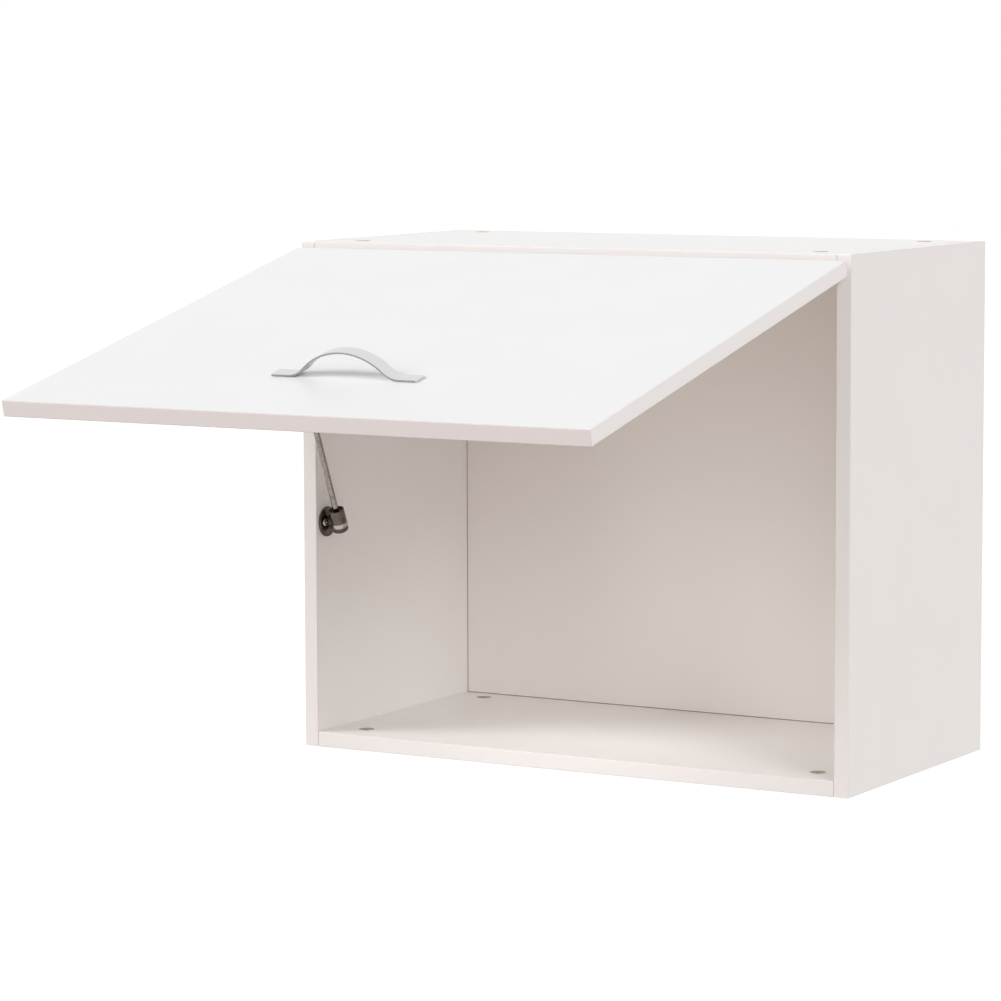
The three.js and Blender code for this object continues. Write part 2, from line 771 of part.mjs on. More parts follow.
function addHinges(cabinet, door) {
  const hands = ["left", "right"];
  hingeXs().forEach((x, i) => {
    const hand = hands[i];
    piece(cabinet, `hinge_plate_${hand}`, hingePlate(x), finishes.nickel);
    piece(cabinet, `hinge_arm_${hand}`, hingeArm(x), finishes.nickel);
    const inner = hingeLink(x, innerPinBack, innerPinDown, innerReach, innerLinkBow, -1);
    piece(cabinet, `hinge_inner_link_${hand}`, inner, finishes.zincSteel);
    const outer = hingeLink(x, outerPinBack, outerPinDown, outerReach, outerLinkBow, 1);
    piece(cabinet, `hinge_outer_link_${hand}`, outer, finishes.zincSteel);
    plateScrewXs(x).forEach((sx, n) => {
      const seat = ceilingZ - 2 * seatGap - plateThickness;
      const screw = aimed(woodScrew(), down, sx, frontY + plateFromFront, seat);
      piece(cabinet, `hinge_plate_screw_${hand}_${n + 1}`, screw, finishes.zincSteel);
    });
    piece(door, `hinge_cup_${hand}`, aimed(hingeCup(), back, x, doorInner, cupZ), finishes.nickel);
    cupScrewXs(x).forEach((sx, n) => {
      const screw = aimed(woodScrew(), back, sx, cupScrewSeat(), cupZ - cupScrewOffset);
      piece(door, `hinge_cup_screw_${hand}_${n + 1}`, screw, finishes.zincSteel);
    });
  });
}

// ---- Flap stay ----

function stayScrewYs() {
  return [stayY - stayScrewSpacing / 2, stayY + stayScrewSpacing / 2];
}

function stayScrewSeat() {
  return 2 * seatGap + stayBaseThickness;
}

function stayBase() {
  const base = turned(
    [
      [0, 0],
      [stayBaseRadius, 0],
      [stayBaseRadius, stayBaseThickness - stayBaseChamfer],
      [stayBaseRadius - stayBaseChamfer, stayBaseThickness],
      [stayBossRadius, stayBaseThickness],
      [stayBossRadius, stayBaseThickness + stayBossHeight],
      [0, stayBaseThickness + stayBossHeight],
    ],
    32,
  );
  const plate = aimed(base, right, -innerX + seatGap, stayY, stayZ);
  const holes = stayScrewYs().map((y) => aimed(screwHole(0), right, -innerX + stayScrewSeat(), y, stayZ));
  return cut(plate, ...holes);
}

// The stay's moving pieces are drawn upright about the rod's axis, their origin at the swivel's centre.
// The barrel ends above that centre, and its stub reaches down beside the ring as far as the ring does.
function stayBarrel() {
  const top = stayBarrelFoot + stayBarrelLength;
  const barrel = turned(
    [
      [0, stayBarrelFoot],
      [stayBarrelRadius, stayBarrelFoot],
      [stayBarrelRadius, top - stayBarrelChamfer],
      [stayBarrelRadius - stayBarrelChamfer, top],
      [stayMouthRadius, top],
      [stayMouthRadius, top - stayMouthDepth],
      [0, top - stayMouthDepth],
    ],
    28,
  );
  const belowRing = bar(stayStubReach + stayStubRadius, -2 * stayStubRadius, stayRingFoot(), 28);
  const stub = cut(stayStub(0, 0, stayStubReach), belowRing);
  const bore = bar(stayRodRadius + stayBoreClearance, stayRingFoot() - overrun, top + overrun, 16);
  return cut(join(barrel, stub), bore);
}

function stayStub(growth, setBack, reach) {
  return aimed(bar(stayStubRadius + growth, -setBack, reach, 24), left, 0, 0, 0);
}

function stayRingFoot() {
  return stayBarrelFoot - seatGap - stayRingHeight;
}

// A band under the barrel, open where the stub passes through it.
function stayRing() {
  const boreRadius = stayRodRadius + stayBoreClearance;
  const band = tube(stayRingRadius, boreRadius, stayRingFoot(), stayBarrelFoot - seatGap, 28);
  return cut(band, stayStub(seatGap, seatGap, stayRingRadius + overrun));
}

// The rod runs from the buffer under the ring to a flat eye on the bracket's pin.
function stayRod() {
  const bottom = stayRingFoot() - seatGap - stayBufferSocket;
  const shaft = bar(stayRodRadius, bottom, stayLength, 14);
  const eye = bar(stayEyeRadius, -stayRodRadius, stayRodRadius, 20);
  const pinHole = bar(stayPinRadius + stayPinClearance, -stayEyeRadius, stayEyeRadius, 14);
  return cut(join(shaft, aimed(eye, right, 0, 0, stayLength)), aimed(pinHole, right, 0, 0, stayLength));
}

function stayBuffer() {
  const top = stayRingFoot() - seatGap;
  const low = top - stayBufferHeight;
  const rounding = [0, 1, 2, 3, 4].map((step) => {
    const angle = (step / 4) * (Math.PI / 2);
    return [
      stayBufferRadius - stayBufferRound * (1 - Math.sin(angle)),
      low + stayBufferRound * (1 - Math.cos(angle)),
    ];
  });
  const cap = turned([[0, low], ...rounding, [stayBufferRadius, top], [0, top]], 28);
  const socketEnd = top - stayBufferSocket - seatGap;
  const socket = bar(stayRodRadius + stayBoreClearance, socketEnd, top + overrun, 16);
  return cut(cap, socket);
}

function bracketScrewZs() {
  return [bracketZ - bracketScrewSpacing / 2, bracketZ + bracketScrewSpacing / 2];
}

function bracketScrewSeat() {
  return doorInner + 2 * seatGap + bracketThickness;
}

// On the door's inner face: a base along the door, and an ear at each side of the rod's eye.
function stayBracket() {
  const lift = doorInner + seatGap;
  const base = block(
    stayX - bracketWidth / 2,
    stayX + bracketWidth / 2,
    lift,
    lift + bracketThickness,
    bracketZ - bracketLength / 2,
    bracketZ + bracketLength / 2,
  );
  const ears = [-1, 1].map((side) => {
    const near = stayX + side * (stayRodRadius + seatGap);
    const far = near + side * bracketThickness;
    const shape = new THREE.Shape();
    shape.moveTo(lift + bracketThickness / 2, bracketZ - bracketEarRadius);
    shape.lineTo(bracketY, bracketZ - bracketEarRadius);
    shape.absarc(bracketY, bracketZ, bracketEarRadius, -Math.PI / 2, Math.PI / 2, false);
    shape.lineTo(lift + bracketThickness / 2, bracketZ + bracketEarRadius);
    return sideProfile(shape, Math.min(near, far), Math.max(near, far));
  });
  const reach = stayRodRadius + seatGap + bracketThickness + overrun;
  const pinHole = bar(stayPinRadius + stayPinClearance, -reach, reach, 14);
  const holes = bracketScrewZs().map((z) => aimed(screwHole(0), back, stayX, bracketScrewSeat(), z));
  return cut(join(base, ...ears), aimed(pinHole, right, stayX, bracketY, bracketZ), ...holes);
}

function stayPin() {
  const half = stayRodRadius + seatGap + bracketThickness + seatGap;
  const pin = turned(
    [
      [0, -half - stayPinTail],
      [stayPinRadius, -half - stayPinTail],
      [stayPinRadius, half],
      [stayPinHeadRadius, half],
      [stayPinHeadRadius, half + stayPinHeadHeight - stayPinHeadChamfer],
      [stayPinHeadRadius - stayPinHeadChamfer, half + stayPinHeadHeight],
      [0, half + stayPinHeadHeight],
    ],
    14,
  );
  return aimed(pin, right, stayX, bracketY, bracketZ);
}

function addStay(cabinet, door) {
  piece(cabinet, "stay_base", stayBase(), finishes.darkNickel);
  stayScrewYs().forEach((y, i) => {
    const screw = aimed(woodScrew(), right, -innerX + stayScrewSeat(), y, stayZ);
    piece(cabinet, `stay_base_screw_${i + 1}`, screw, finishes.nickel);
  });
  const swivel = new THREE.Group();
  swivel.position.set(stayX, stayY, stayZ);
  swivel.rotation.x = stayTilt;
  piece(swivel, "stay_barrel", stayBarrel(), finishes.darkNickel);
  piece(swivel, "stay_brake_ring", stayRing(), finishes.chrome);
  piece(swivel, "stay_rod", stayRod(), finishes.chrome);
  piece(swivel, "stay_end_buffer", stayBuffer(), finishes.darkPlastic);
  cabinet.add(swivel);
  piece(door, "stay_bracket", stayBracket(), finishes.nickel);
  piece(door, "stay_pin", stayPin(), finishes.zincSteel);
  bracketScrewZs().forEach((z, i) => {
    const screw = aimed(woodScrew(), back, stayX, bracketScrewSeat(), z);
    piece(door, `stay_bracket_screw_${i + 1}`, screw, finishes.zincSteel);
  });
}

// ---- Cabinet hangers ----

function hangerRearY() {
  return backFrontY - seatGap;
}

function hangerMidY() {
  return hangerRearY() - hangerDepth / 2;
}

function hangerMidZ() {
  return ceilingZ - hangerBelowTop - hangerHeight / 2;
}

function hangerMidX(side) {
  return side * (innerX - seatGap - hangerWidth / 2);
}

function hangerDowelZs() {
  return [hangerMidZ() - hangerDowelSpacing / 2, hangerMidZ() + hangerDowelSpacing / 2];
}

// A moulded housing with two dowels pressed into the side board and a slot for the hook at the rear.
function hangerHousing(side) {
  const outer = side * (innerX - seatGap);
  const inner = outer - side * hangerWidth;
  const midX = hangerMidX(side);
  const midZ = hangerMidZ();
  const frontFace = hangerRearY() - hangerDepth;
  const half = hangerHeight / 2;
  const body = block(inner, outer, frontFace, hangerRearY(), midZ - half, midZ + half);
  const outwards = side > 0 ? right : left;
  const dowel = bar(hangerDowelRadius, -overrun, hangerDowelLength, 14);
  const dowels = hangerDowelZs().map((z) => aimed(dowel, outwards, outer, hangerMidY(), z));
  const slot = block(
    midX - hangerSlotWidth / 2,
    midX + hangerSlotWidth / 2,
    hangerRearY() - hangerSlotDepth,
    hangerRearY() + overrun,
    midZ - hangerSlotHeight / 2,
    midZ + hangerSlotHeight / 2,
  );
  const screwBore = bar(hangerScrewRadius + hangerScrewClearance, -overrun, hangerScrewReach(), 14);
  return cut(join(body, ...dowels), slot, aimed(screwBore, back, midX, frontFace, midZ));
}

// A plate that slides up and down in the housing, with a claw behind the back panel for the wall rail.
function hangerHook(side) {
  const midX = hangerMidX(side);
  const midZ = hangerMidZ();
  const bodyRear = hangerRearY() - hookClearance;
  const bodyFront = bodyRear - hookBodyLength;
  const clawRear = -hookFromWall;
  const clawFront = clawRear - hookClawThickness;
  const shape = polygon([
    [bodyFront, midZ - hookBodyHeight / 2],
    [bodyRear, midZ - hookBodyHeight / 2],
    [bodyRear, midZ - hookNeckHeight / 2],
    [clawFront, midZ - hookNeckHeight / 2],
    [clawFront, midZ - hookNeckHeight / 2 - hookClawDrop],
    [clawRear, midZ - hookNeckHeight / 2 - hookClawDrop],
    [clawRear, midZ + hookNeckHeight / 2],
    [bodyRear, midZ + hookNeckHeight / 2],
    [bodyRear, midZ + hookBodyHeight / 2],
    [bodyFront, midZ + hookBodyHeight / 2],
  ]);
  return sideProfile(shape, midX - hookThickness / 2, midX + hookThickness / 2);
}

// From the screw head's seat to just short of the hook.
function hangerScrewReach() {
  return hangerDepth + seatGap - hookClearance - hookBodyLength - seatGap;
}

function hangerScrew(side) {
  const frontFace = hangerRearY() - hangerDepth;
  const reach = hangerScrewReach();
  const body = turned(
    [
      [0, -reach],
      [hangerScrewRadius, -reach],
      [hangerScrewRadius, 0],
      [hangerScrewHeadRadius, 0],
      [hangerScrewHeadRadius, hangerScrewHeadHeight * 0.6],
      [hangerScrewHeadRadius * 0.7, hangerScrewHeadHeight],
      [0, hangerScrewHeadHeight],
    ],
    16,
  );
  const screw = recessed(body, hangerScrewHeadHeight);
  return aimed(screw, front, hangerMidX(side), frontFace - seatGap, hangerMidZ());
}

function addHangers(cabinet) {
  for (const [hand, side] of [["left", -1], ["right", 1]]) {
    piece(cabinet, `hanger_housing_${hand}`, hangerHousing(side), finishes.whitePlastic);
    piece(cabinet, `hanger_hook_${hand}`, hangerHook(side), finishes.zincSteel);
    piece(cabinet, `hanger_screw_${hand}`, hangerScrew(side), finishes.zincSteel);
  }
}

// ---- Assembly ----

function addCarcass(cabinet) {
  piece(cabinet, "side_left", sideBoard(-1), finishes.melamine);
  piece(cabinet, "side_right", sideBoard(1), finishes.melamine);
  piece(cabinet, "top_board", levelBoard("top"), finishes.melamine);
  piece(cabinet, "bottom_board", levelBoard("bottom"), finishes.melamine);
  piece(cabinet, "back_panel", backPanel(), finishes.hardboard);
}

function addDoor(door) {
  piece(door, "door_panel", doorPanel(), finishes.melamine);
  piece(door, "handle", handle(), finishes.satinMetal);
  handleHoleXs().forEach((x, i) => {
    const screw = aimed(handleScrew(), back, x, doorInner + seatGap, handleZ);
    piece(door, `handle_screw_${i + 1}`, screw, finishes.zincSteel);
  });
}

const liftUpWallCabinet = new THREE.Group();
const openDoor = new THREE.Group();
openDoor.position.set(0, pivotY, pivotZ);
openDoor.rotation.x = -openTurn;

addCarcass(liftUpWallCabinet);
addCams(liftUpWallCabinet);
addDoor(openDoor);
addHinges(liftUpWallCabinet, openDoor);
addStay(liftUpWallCabinet, openDoor);
addHangers(liftUpWallCabinet);
liftUpWallCabinet.add(openDoor);

export default liftUpWallCabinet;
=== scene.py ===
import json
import math

import bmesh
import bpy
import numpy as np
from mathutils import Matrix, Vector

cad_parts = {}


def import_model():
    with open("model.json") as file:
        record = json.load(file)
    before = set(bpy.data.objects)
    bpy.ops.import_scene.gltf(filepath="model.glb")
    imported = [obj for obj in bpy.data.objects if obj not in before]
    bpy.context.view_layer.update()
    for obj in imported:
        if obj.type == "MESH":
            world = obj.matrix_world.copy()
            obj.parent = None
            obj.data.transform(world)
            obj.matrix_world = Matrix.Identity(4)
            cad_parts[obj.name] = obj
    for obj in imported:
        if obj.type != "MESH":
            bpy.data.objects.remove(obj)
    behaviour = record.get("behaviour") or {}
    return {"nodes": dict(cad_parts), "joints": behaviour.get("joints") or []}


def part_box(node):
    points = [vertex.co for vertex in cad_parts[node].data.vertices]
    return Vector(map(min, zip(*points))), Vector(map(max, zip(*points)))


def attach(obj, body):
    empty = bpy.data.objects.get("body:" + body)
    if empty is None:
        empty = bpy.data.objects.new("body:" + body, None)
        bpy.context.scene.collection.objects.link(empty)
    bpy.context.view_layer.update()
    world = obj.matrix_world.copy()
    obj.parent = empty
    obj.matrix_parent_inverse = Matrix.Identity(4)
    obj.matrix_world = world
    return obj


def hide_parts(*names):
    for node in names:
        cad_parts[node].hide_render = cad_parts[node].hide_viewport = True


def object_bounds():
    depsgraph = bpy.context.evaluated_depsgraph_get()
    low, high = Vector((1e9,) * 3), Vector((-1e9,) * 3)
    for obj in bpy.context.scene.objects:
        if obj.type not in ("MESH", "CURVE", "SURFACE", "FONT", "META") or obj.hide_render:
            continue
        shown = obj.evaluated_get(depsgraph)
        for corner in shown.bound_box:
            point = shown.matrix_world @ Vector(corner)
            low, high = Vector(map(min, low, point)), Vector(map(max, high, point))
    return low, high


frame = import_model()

# A white lift up wall cabinet, door held open by its stay. Metres, +Z up, the wall plane at Y = 0.
# Shape sizes in the dictionaries are millimetres. Places come from the frame.

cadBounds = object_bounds()
joints = {joint["name"]: joint for joint in frame["joints"]}

# Metres and degrees.
tolerance = {"pole": 1e-6, "weld": 1e-7, "cadWeld": 1e-6, "onPlane": 2e-5,
             "flat": 0.5, "sharp": 32, "round": 40}


def turnAboutX(angle):
    c, s = math.cos(angle), math.sin(angle)
    return np.array([[1, 0, 0], [0, c, -s], [0, s, c]])


# The turn that takes +Z to a direction, with local X kept as level as it can be.
def turnTowards(direction):
    z = np.asarray(direction, float)
    z = z / np.linalg.norm(z)
    side = np.cross([0, 1, 0], z) if abs(z[1]) < 0.9 else np.array([1.0, 0, 0])
    x = side / np.linalg.norm(side)
    return np.stack([x, np.cross(z, x), z], 1)


def meshPoints(mesh):
    points = np.zeros(len(mesh.vertices) * 3, np.float32)
    mesh.vertices.foreach_get("co", points)
    return points.reshape(-1, 3).astype(float)


def nodePoints(node):
    return meshPoints(frame["nodes"][node].data)


# A node's lowest and highest corners in a place's own millimetres.
def localBox(node, place):
    turn, origin = place
    local = (nodePoints(node) - origin) @ turn * 1000
    return local.min(0), local.max(0)


# The place of a turned fastener: local Z along its axis, the origin below its top by the head's height.
def fastenerPlace(node, direction, headHeight=0.0):
    turn = turnTowards(direction)
    local = nodePoints(node) @ turn
    middle = (local.min(0) + local.max(0)) / 2
    return turn, turn @ np.array([middle[0], middle[1], local[:, 2].max() - headHeight / 1000])


def addObject(name, data):
    piece = bpy.data.objects.new(name, data)
    bpy.context.scene.collection.objects.link(piece)
    return piece


def giveMaterial(piece, material):
    piece.data.materials.clear()
    piece.data.materials.append(material)


openTurn = math.radians(abs(joints["door_lift"]["range_deg"][0]))
doorPlace = (turnAboutX(-openTurn), np.array(joints["door_lift"]["pos_m"]))
doorInwards = doorPlace[0] @ np.array([0, 1, 0])
stayAxis = np.array(joints["rod_slide"]["axis"])
rodLow, rodHigh = (np.array(corner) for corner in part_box("stay_rod"))
baseLow, baseHigh = (np.array(corner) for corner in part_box("stay_base"))
stayMiddle = np.array([(rodLow[0] + rodHigh[0]) / 2, *(baseLow + baseHigh)[1:] / 2])
stayPlace = (np.stack([[1, 0, 0], np.cross(stayAxis, [1, 0, 0]), stayAxis], 1), stayMiddle)


# Each corner of a polyline gives way to a quadratic curve between two points set back by its radius,
# at most half-way to its neighbours.
def softened(corners, radius, steps=4):
    corners = np.asarray(corners, float)
    radii = np.broadcast_to(radius, len(corners))
    path = [corners[:1]]
    t = np.linspace(0, 1, steps + 1)[:, None]
    for before, corner, after, r in zip(corners, corners[1:], corners[2:], radii[1:]):
        inLength, outLength = np.linalg.norm(before - corner), np.linalg.norm(after - corner)
        a = corner + (before - corner) / inLength * min(r, inLength / 2)
        b = corner + (after - corner) / outLength * min(r, outLength / 2)
        path.append((1 - t) ** 2 * a + 2 * t * (1 - t) * corner + t ** 2 * b)
    path.append(corners[-1:])
    return np.concatenate(path)


def plainPost(radius, low, high):
    return np.array([(0, low), (radius, low), (radius, high), (0, high)], float)


# A profile of (radius, height) carried round local Z: at angle a it is (r cos a, r sin a, z). A profile
# can hold its own radius and height for every angle.
def turnedSurface(profile, sides=64):
    angle = np.linspace(0, 2 * np.pi, sides, endpoint=False)
    if profile.ndim == 2:
        profile = profile[:, None]
    r, z = profile[..., 0], profile[..., 1]
    return np.stack([r * np.cos(angle), r * np.sin(angle), z + 0 * angle], -1)


# A section in local X and across, carried along a path in local X and Z. The section's points stand on
# the path's normal, and its half sizes can change along the way.
def sweptStrap(path, halfWidth, halfThickness, exponent, sides):
    along = np.gradient(path, axis=0)
    along /= np.linalg.norm(along, axis=1, keepdims=True)
    normal = np.stack([-along[:, 1], along[:, 0]], 1)
    section = roundedBox(exponent, sides)
    wide = section[:, 0] * halfWidth[:, None]
    thick = section[:, 1] * halfThickness[:, None]
    x = path[:, :1] + normal[:, :1] * thick
    z = path[:, 1:] + normal[:, 1:] * thick
    return np.stack([x, wide, z], -1)


# A superellipse |x|^n + |y|^n = 1, stepped evenly by angle to the power 2/n.
def roundedBox(exponent, sides):
    angle = np.linspace(0, 2 * np.pi, sides, endpoint=False) + np.pi / sides
    c, s = np.cos(angle), np.sin(angle)
    power = 2 / exponent
    return np.stack([np.sign(c) * np.abs(c) ** power, np.sign(s) * np.abs(s) ** power], 1)


def smoothStep(low, high, value):
    t = np.clip((value - low) / (high - low), 0, 1)
    return t * t * (3 - 2 * t)


# 1 nearer than an edge, falling to 0 over the wall before it.
def nearerThan(edge, wall, distance):
    return 1 - smoothStep(edge - wall, edge, distance)


# Lowers a head's upper face over a cross, where a point is inside both an arm's width and its reach.
def crossRecess(grid, shape, turn=0.0):
    c, s = math.cos(turn), math.sin(turn)
    x = np.abs(grid[..., 0] * c + grid[..., 1] * s)
    y = np.abs(grid[..., 1] * c - grid[..., 0] * s)
    inArm = nearerThan(shape["crossWidth"] / 2, shape["wall"], np.minimum(x, y))
    inReach = nearerThan(shape["crossReach"], shape["wall"], np.maximum(x, y))
    grid[..., 2] -= shape["crossDepth"] * inArm * inReach


def gridFaces(rows, columns, closedRows):
    r, c = np.meshgrid(np.arange(rows if closedRows else rows - 1), np.arange(columns), indexing="ij")
    up, on = (r + 1) % rows, (c + 1) % columns
    corners = [r * columns + c, r * columns + on, up * columns + on, up * columns + c]
    return np.stack(corners, -1).reshape(-1, 4)


# A closed shell from a grid whose columns run round. Its end rows are poles, or get a flat cap.
def shell(name, grid, place, closedRows=False):
    rows, columns = grid.shape[:2]
    faces = gridFaces(rows, columns, closedRows).tolist()
    if not closedRows:
        if np.ptp(grid[0], axis=0).max() > tolerance["pole"]:
            faces.append(list(range(columns))[::-1])
        if np.ptp(grid[-1], axis=0).max() > tolerance["pole"]:
            faces.append(list(range((rows - 1) * columns, rows * columns)))
    turn, origin = place
    mesh = bpy.data.meshes.new(name)
    mesh.from_pydata((grid / 1000 @ turn.T + origin).reshape(-1, 3), [], faces)
    work = bmesh.new()
    work.from_mesh(mesh)
    bmesh.ops.remove_doubles(work, verts=work.verts, dist=tolerance["weld"])
    bmesh.ops.dissolve_degenerate(work, edges=work.edges, dist=tolerance["weld"])
    if work.calc_volume(signed=True) < 0:
        bmesh.ops.reverse_faces(work, faces=work.faces)
    work.to_mesh(mesh)
    work.free()
    return addObject(name, mesh)


# Joins other shells to a piece, or cuts them from it, and keeps the result as its mesh.
def combined(piece, others, operation):
    for other in others:
        step = piece.modifiers.new(operation, "BOOLEAN")
        step.operation = operation
        step.solver = "EXACT"
        step.object = other
    evaluated = piece.evaluated_get(bpy.context.evaluated_depsgraph_get())
    mesh = bpy.data.meshes.new_from_object(evaluated)
    piece.modifiers.clear()
    piece.data = mesh
    for other in others:
        bpy.data.objects.remove(other)


def fused(piece, *others):
    combined(piece, others, "UNION")


def pierced(piece, *others):
    combined(piece, others, "DIFFERENCE")


# Smooth faces with sharp edges kept, then its body, finish and the CAD node that it stands for.
def finished(piece, body, material, node):
    piece.data.polygons.foreach_set("use_smooth", [True] * len(piece.data.polygons))
    piece.data.set_sharp_from_angle(angle=math.radians(tolerance["sharp"]))
    giveMaterial(piece, material)
    weighted = piece.modifiers.new("evenShading", "WEIGHTED_NORMAL")
    weighted.keep_sharp = True
    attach(piece, body)
    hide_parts(node)


# A copy of a CAD node's mesh with its corners merged and its flat faces whole.
def mergedCopy(node, name):
    mesh = frame["nodes"][node].data.copy()
    work = bmesh.new()
    work.from_mesh(mesh)
    bmesh.ops.remove_doubles(work, verts=work.verts, dist=tolerance["cadWeld"])
    flat = math.radians(tolerance["flat"])
    bmesh.ops.dissolve_limit(work, angle_limit=flat, verts=work.verts, edges=work.edges)
    work.to_mesh(mesh)
    work.free()
    if mesh.has_custom_normals:
        mesh.attributes.remove(mesh.attributes["custom_normal"])
    mesh.name = name
    return addObject(name, mesh)


def linearColour(hexText):
    values = np.array([int(hexText[i:i + 2], 16) / 255 for i in (0, 2, 4)])
    linear = np.where(values <= 0.04045, values / 12.92, ((values + 0.055) / 1.055) ** 2.4)
    return (*linear.tolist(), 1.0)


# Adds a node, sets its sockets or properties, and links sources into its sockets. A source is a socket,
# or a node for its first output. A Mix node's socket 0 is its share, 2 and 3 are numbers, 6 and 7 colours.
def addNode(tree, kind, settings=None, sources=None):
    node = tree.nodes.new("ShaderNode" + kind)
    for key, value in (settings or {}).items():
        if isinstance(key, int) or key in node.inputs:
            node.inputs[key].default_value = value
        else:
            setattr(node, key, value)
    for key, source in (sources or {}).items():
        socket = source.outputs[0] if isinstance(source, bpy.types.Node) else source
        tree.links.new(socket, node.inputs[key])
    return node


def patternScale(sizeInMm):
    return 1000 / sizeInMm


def emptyMaterial(name):
    material = bpy.data.materials.new(name)
    material.use_nodes = True
    material.node_tree.nodes.clear()
    return material, material.node_tree


# Noise keeps mostly between these, which are stretched over a range's whole length.
noiseSpread = {"From Min": 0.3, "From Max": 0.7}
grainStrength = 0.4   # how much of a fine grain's depth the shading takes


# Melamine-faced chipboard: paper soaked in resin and pressed on a satin plate, so it is white and even,
# with a very fine pebble in its gloss. Its edge bands meet it in a hairline of glue. The bands on the
# carcass fronts and on the door's ends are painted darker as painted shade, and the door's side bands
# lighter as painted light, for how those faces are lit. Raw places show wood chips.
melamineLook = {
    "carcass": "F9F6F4",
    # Band whites: the front band and the door's end band hold painted shade, the door's side band painted
    # light.
    "frontBandPaintedShade": "EBE6E4",
    "endBand": "F7F4F2",
    "door": "EFEFEF",
    "doorEndBandPaintedShade": "DDD5D4",
    "doorSideBandPaintedLight": "FBF8F7",
    "shade": 0.985,
    "cloudMm": 90,
    "pebbleMm": 1.6,   # the real pebble is 0.2 mm, drawn coarser to show
    "pebbleDepth": 0.012,
    "bump": (0.1, 0.6),   # on paper and on chips
    "roughness": (0.3, 0.38),
    "rawRoughness": 0.9,
    "ior": 1.5,
    "bandMm": 0.8,
    "glueMm": 0.22,
    "glueShade": 0.88,
    "chipMm": 2.6,
    "chipLight": "D9BE93",
    "chipDark": "9C7A4E",
}


# The bands are given by the board's axis that they stand across.
def melamine(name, white, bands, centre, halfSize, turn):
    look = melamineLook
    material, tree = emptyMaterial(name)
    coordinates = addNode(tree, "TexCoord").outputs["Object"]
    # The board's own axes from its middle, and the depth below its nearest banded edge.
    ownAxes = {"vector_type": "TEXTURE", "Location": centre, "Rotation": (turn, 0, 0)}
    centred = addNode(tree, "Mapping", ownAxes, {"Vector": coordinates})
    place = addNode(tree, "SeparateXYZ", {}, {0: centred})
    face = linearColour(look[white])
    depth = None
    covered = None
    for axis, bandWhiteAndPaintedLight in bands.items():
        off = addNode(tree, "Math", {"operation": "ABSOLUTE"}, {0: place.outputs[axis]})
        within = {"operation": "SUBTRACT", 0: halfSize[axis]}
        below = addNode(tree, "Math", within, {1: off})
        inBand = {"operation": "LESS_THAN", 1: look["bandMm"] / 1000}
        band = addNode(tree, "Math", inBand, {0: below})
        # The band's white covers the face near that edge; on all but the side boards' end bands it holds
        # painted shade or light.
        overlay = addNode(tree, "Mix", {"data_type": "RGBA", 6: face,
                          7: linearColour(look[bandWhiteAndPaintedLight])}, {0: band})
        if depth is None:
            depth = below
        else:
            depth = addNode(tree, "Math", {"operation": "MINIMUM"}, {0: depth, 1: below})
            tree.links.new(covered, overlay.inputs[6])
        covered = overlay.outputs[2]
    glueLine = {"operation": "COMPARE", 1: look["bandMm"] / 1000, 2: look["glueMm"] / 2000}
    glue = addNode(tree, "Math", glueLine, {0: depth})
    glueTone = addNode(tree, "MapRange", {"To Min": 1.0, "To Max": look["glueShade"]}, {"Value": glue})
    cloud = addNode(tree, "TexNoise", {"Scale": patternScale(look["cloudMm"]), "Detail": 3.0},
                    {"Vector": coordinates})
    cloudTone = addNode(tree, "MapRange", {**noiseSpread, "To Min": look["shade"], "To Max": 1.0},
                        {"Value": cloud})
    tone = addNode(tree, "Math", {"operation": "MULTIPLY"}, {0: glueTone, 1: cloudTone})
    paper = addNode(tree, "VectorMath", {"operation": "SCALE"}, {0: covered, "Scale": tone})
    chips = addNode(tree, "TexVoronoi", {"Scale": patternScale(look["chipMm"])}, {"Vector": coordinates})
    chipTone = addNode(tree, "SeparateColor", {}, {0: chips.outputs["Color"]})
    wood = addNode(tree, "Mix", {"data_type": "RGBA", 6: linearColour(look["chipDark"]),
                   7: linearColour(look["chipLight"])}, {0: chipTone})
    raw = addNode(tree, "Attribute", {"attribute_name": "raw"}).outputs["Fac"]
    colour = addNode(tree, "Mix", {"data_type": "RGBA"}, {0: raw, 6: paper, 7: wood.outputs[2]})
    pebble = addNode(tree, "TexNoise", {"Scale": patternScale(look["pebbleMm"]), "Detail": 2.0},
                     {"Vector": coordinates})
    grit = addNode(tree, "Mix", {"data_type": "FLOAT"}, {0: raw, 2: pebble, 3: chips.outputs["Distance"]})
    onPaper, onChips = look["bump"]
    strength = addNode(tree, "MapRange", {"To Min": onPaper, "To Max": onChips}, {"Value": raw})
    bump = addNode(tree, "Bump", {"Distance": look["pebbleDepth"] / 1000},
                   {"Height": grit, "Strength": strength})
    low, high = look["roughness"]
    sheen = addNode(tree, "MapRange", {**noiseSpread, "To Min": low, "To Max": high}, {"Value": pebble})
    gloss = addNode(tree, "Mix", {"data_type": "FLOAT", 3: look["rawRoughness"]}, {0: raw, 2: sheen})
    shader = addNode(tree, "BsdfPrincipled", {"IOR": look["ior"]}, {
        "Base Color": colour.outputs[2], "Roughness": gloss, "Normal": bump})
    addNode(tree, "OutputMaterial", {}, {"Surface": shader})
    return material


# Hardboard: wood fibre pressed hot on a mesh. The face inside the cabinet is roller-painted off-white,
# with a brownish line of painted shade along the opening's edge where it enters its groove. The face
# to the wall stays brown with the mesh's small squares.
hardboardLook = {
    "paint": "F8F1EB",
    "fibre": "B08C66",
    "fibreDark": "94714E",
    "rollerMm": 2.2,
    "fibreMm": 3.5,
    "fibreStretch": 2.2,
    "meshMm": 2.0,
    "meshUneven": 0.1,
    "reliefDepth": 0.05,
    "reliefStrength": 0.35,
    "roughness": (0.5, 0.75),   # painted and bare
    "ior": 1.5,
    # the painted shade along the groove, and how far in from the opening's edge it reaches
    "paintedGrooveShade": "8C7B6E",
    "paintedGrooveShadeMm": 0.8,
}


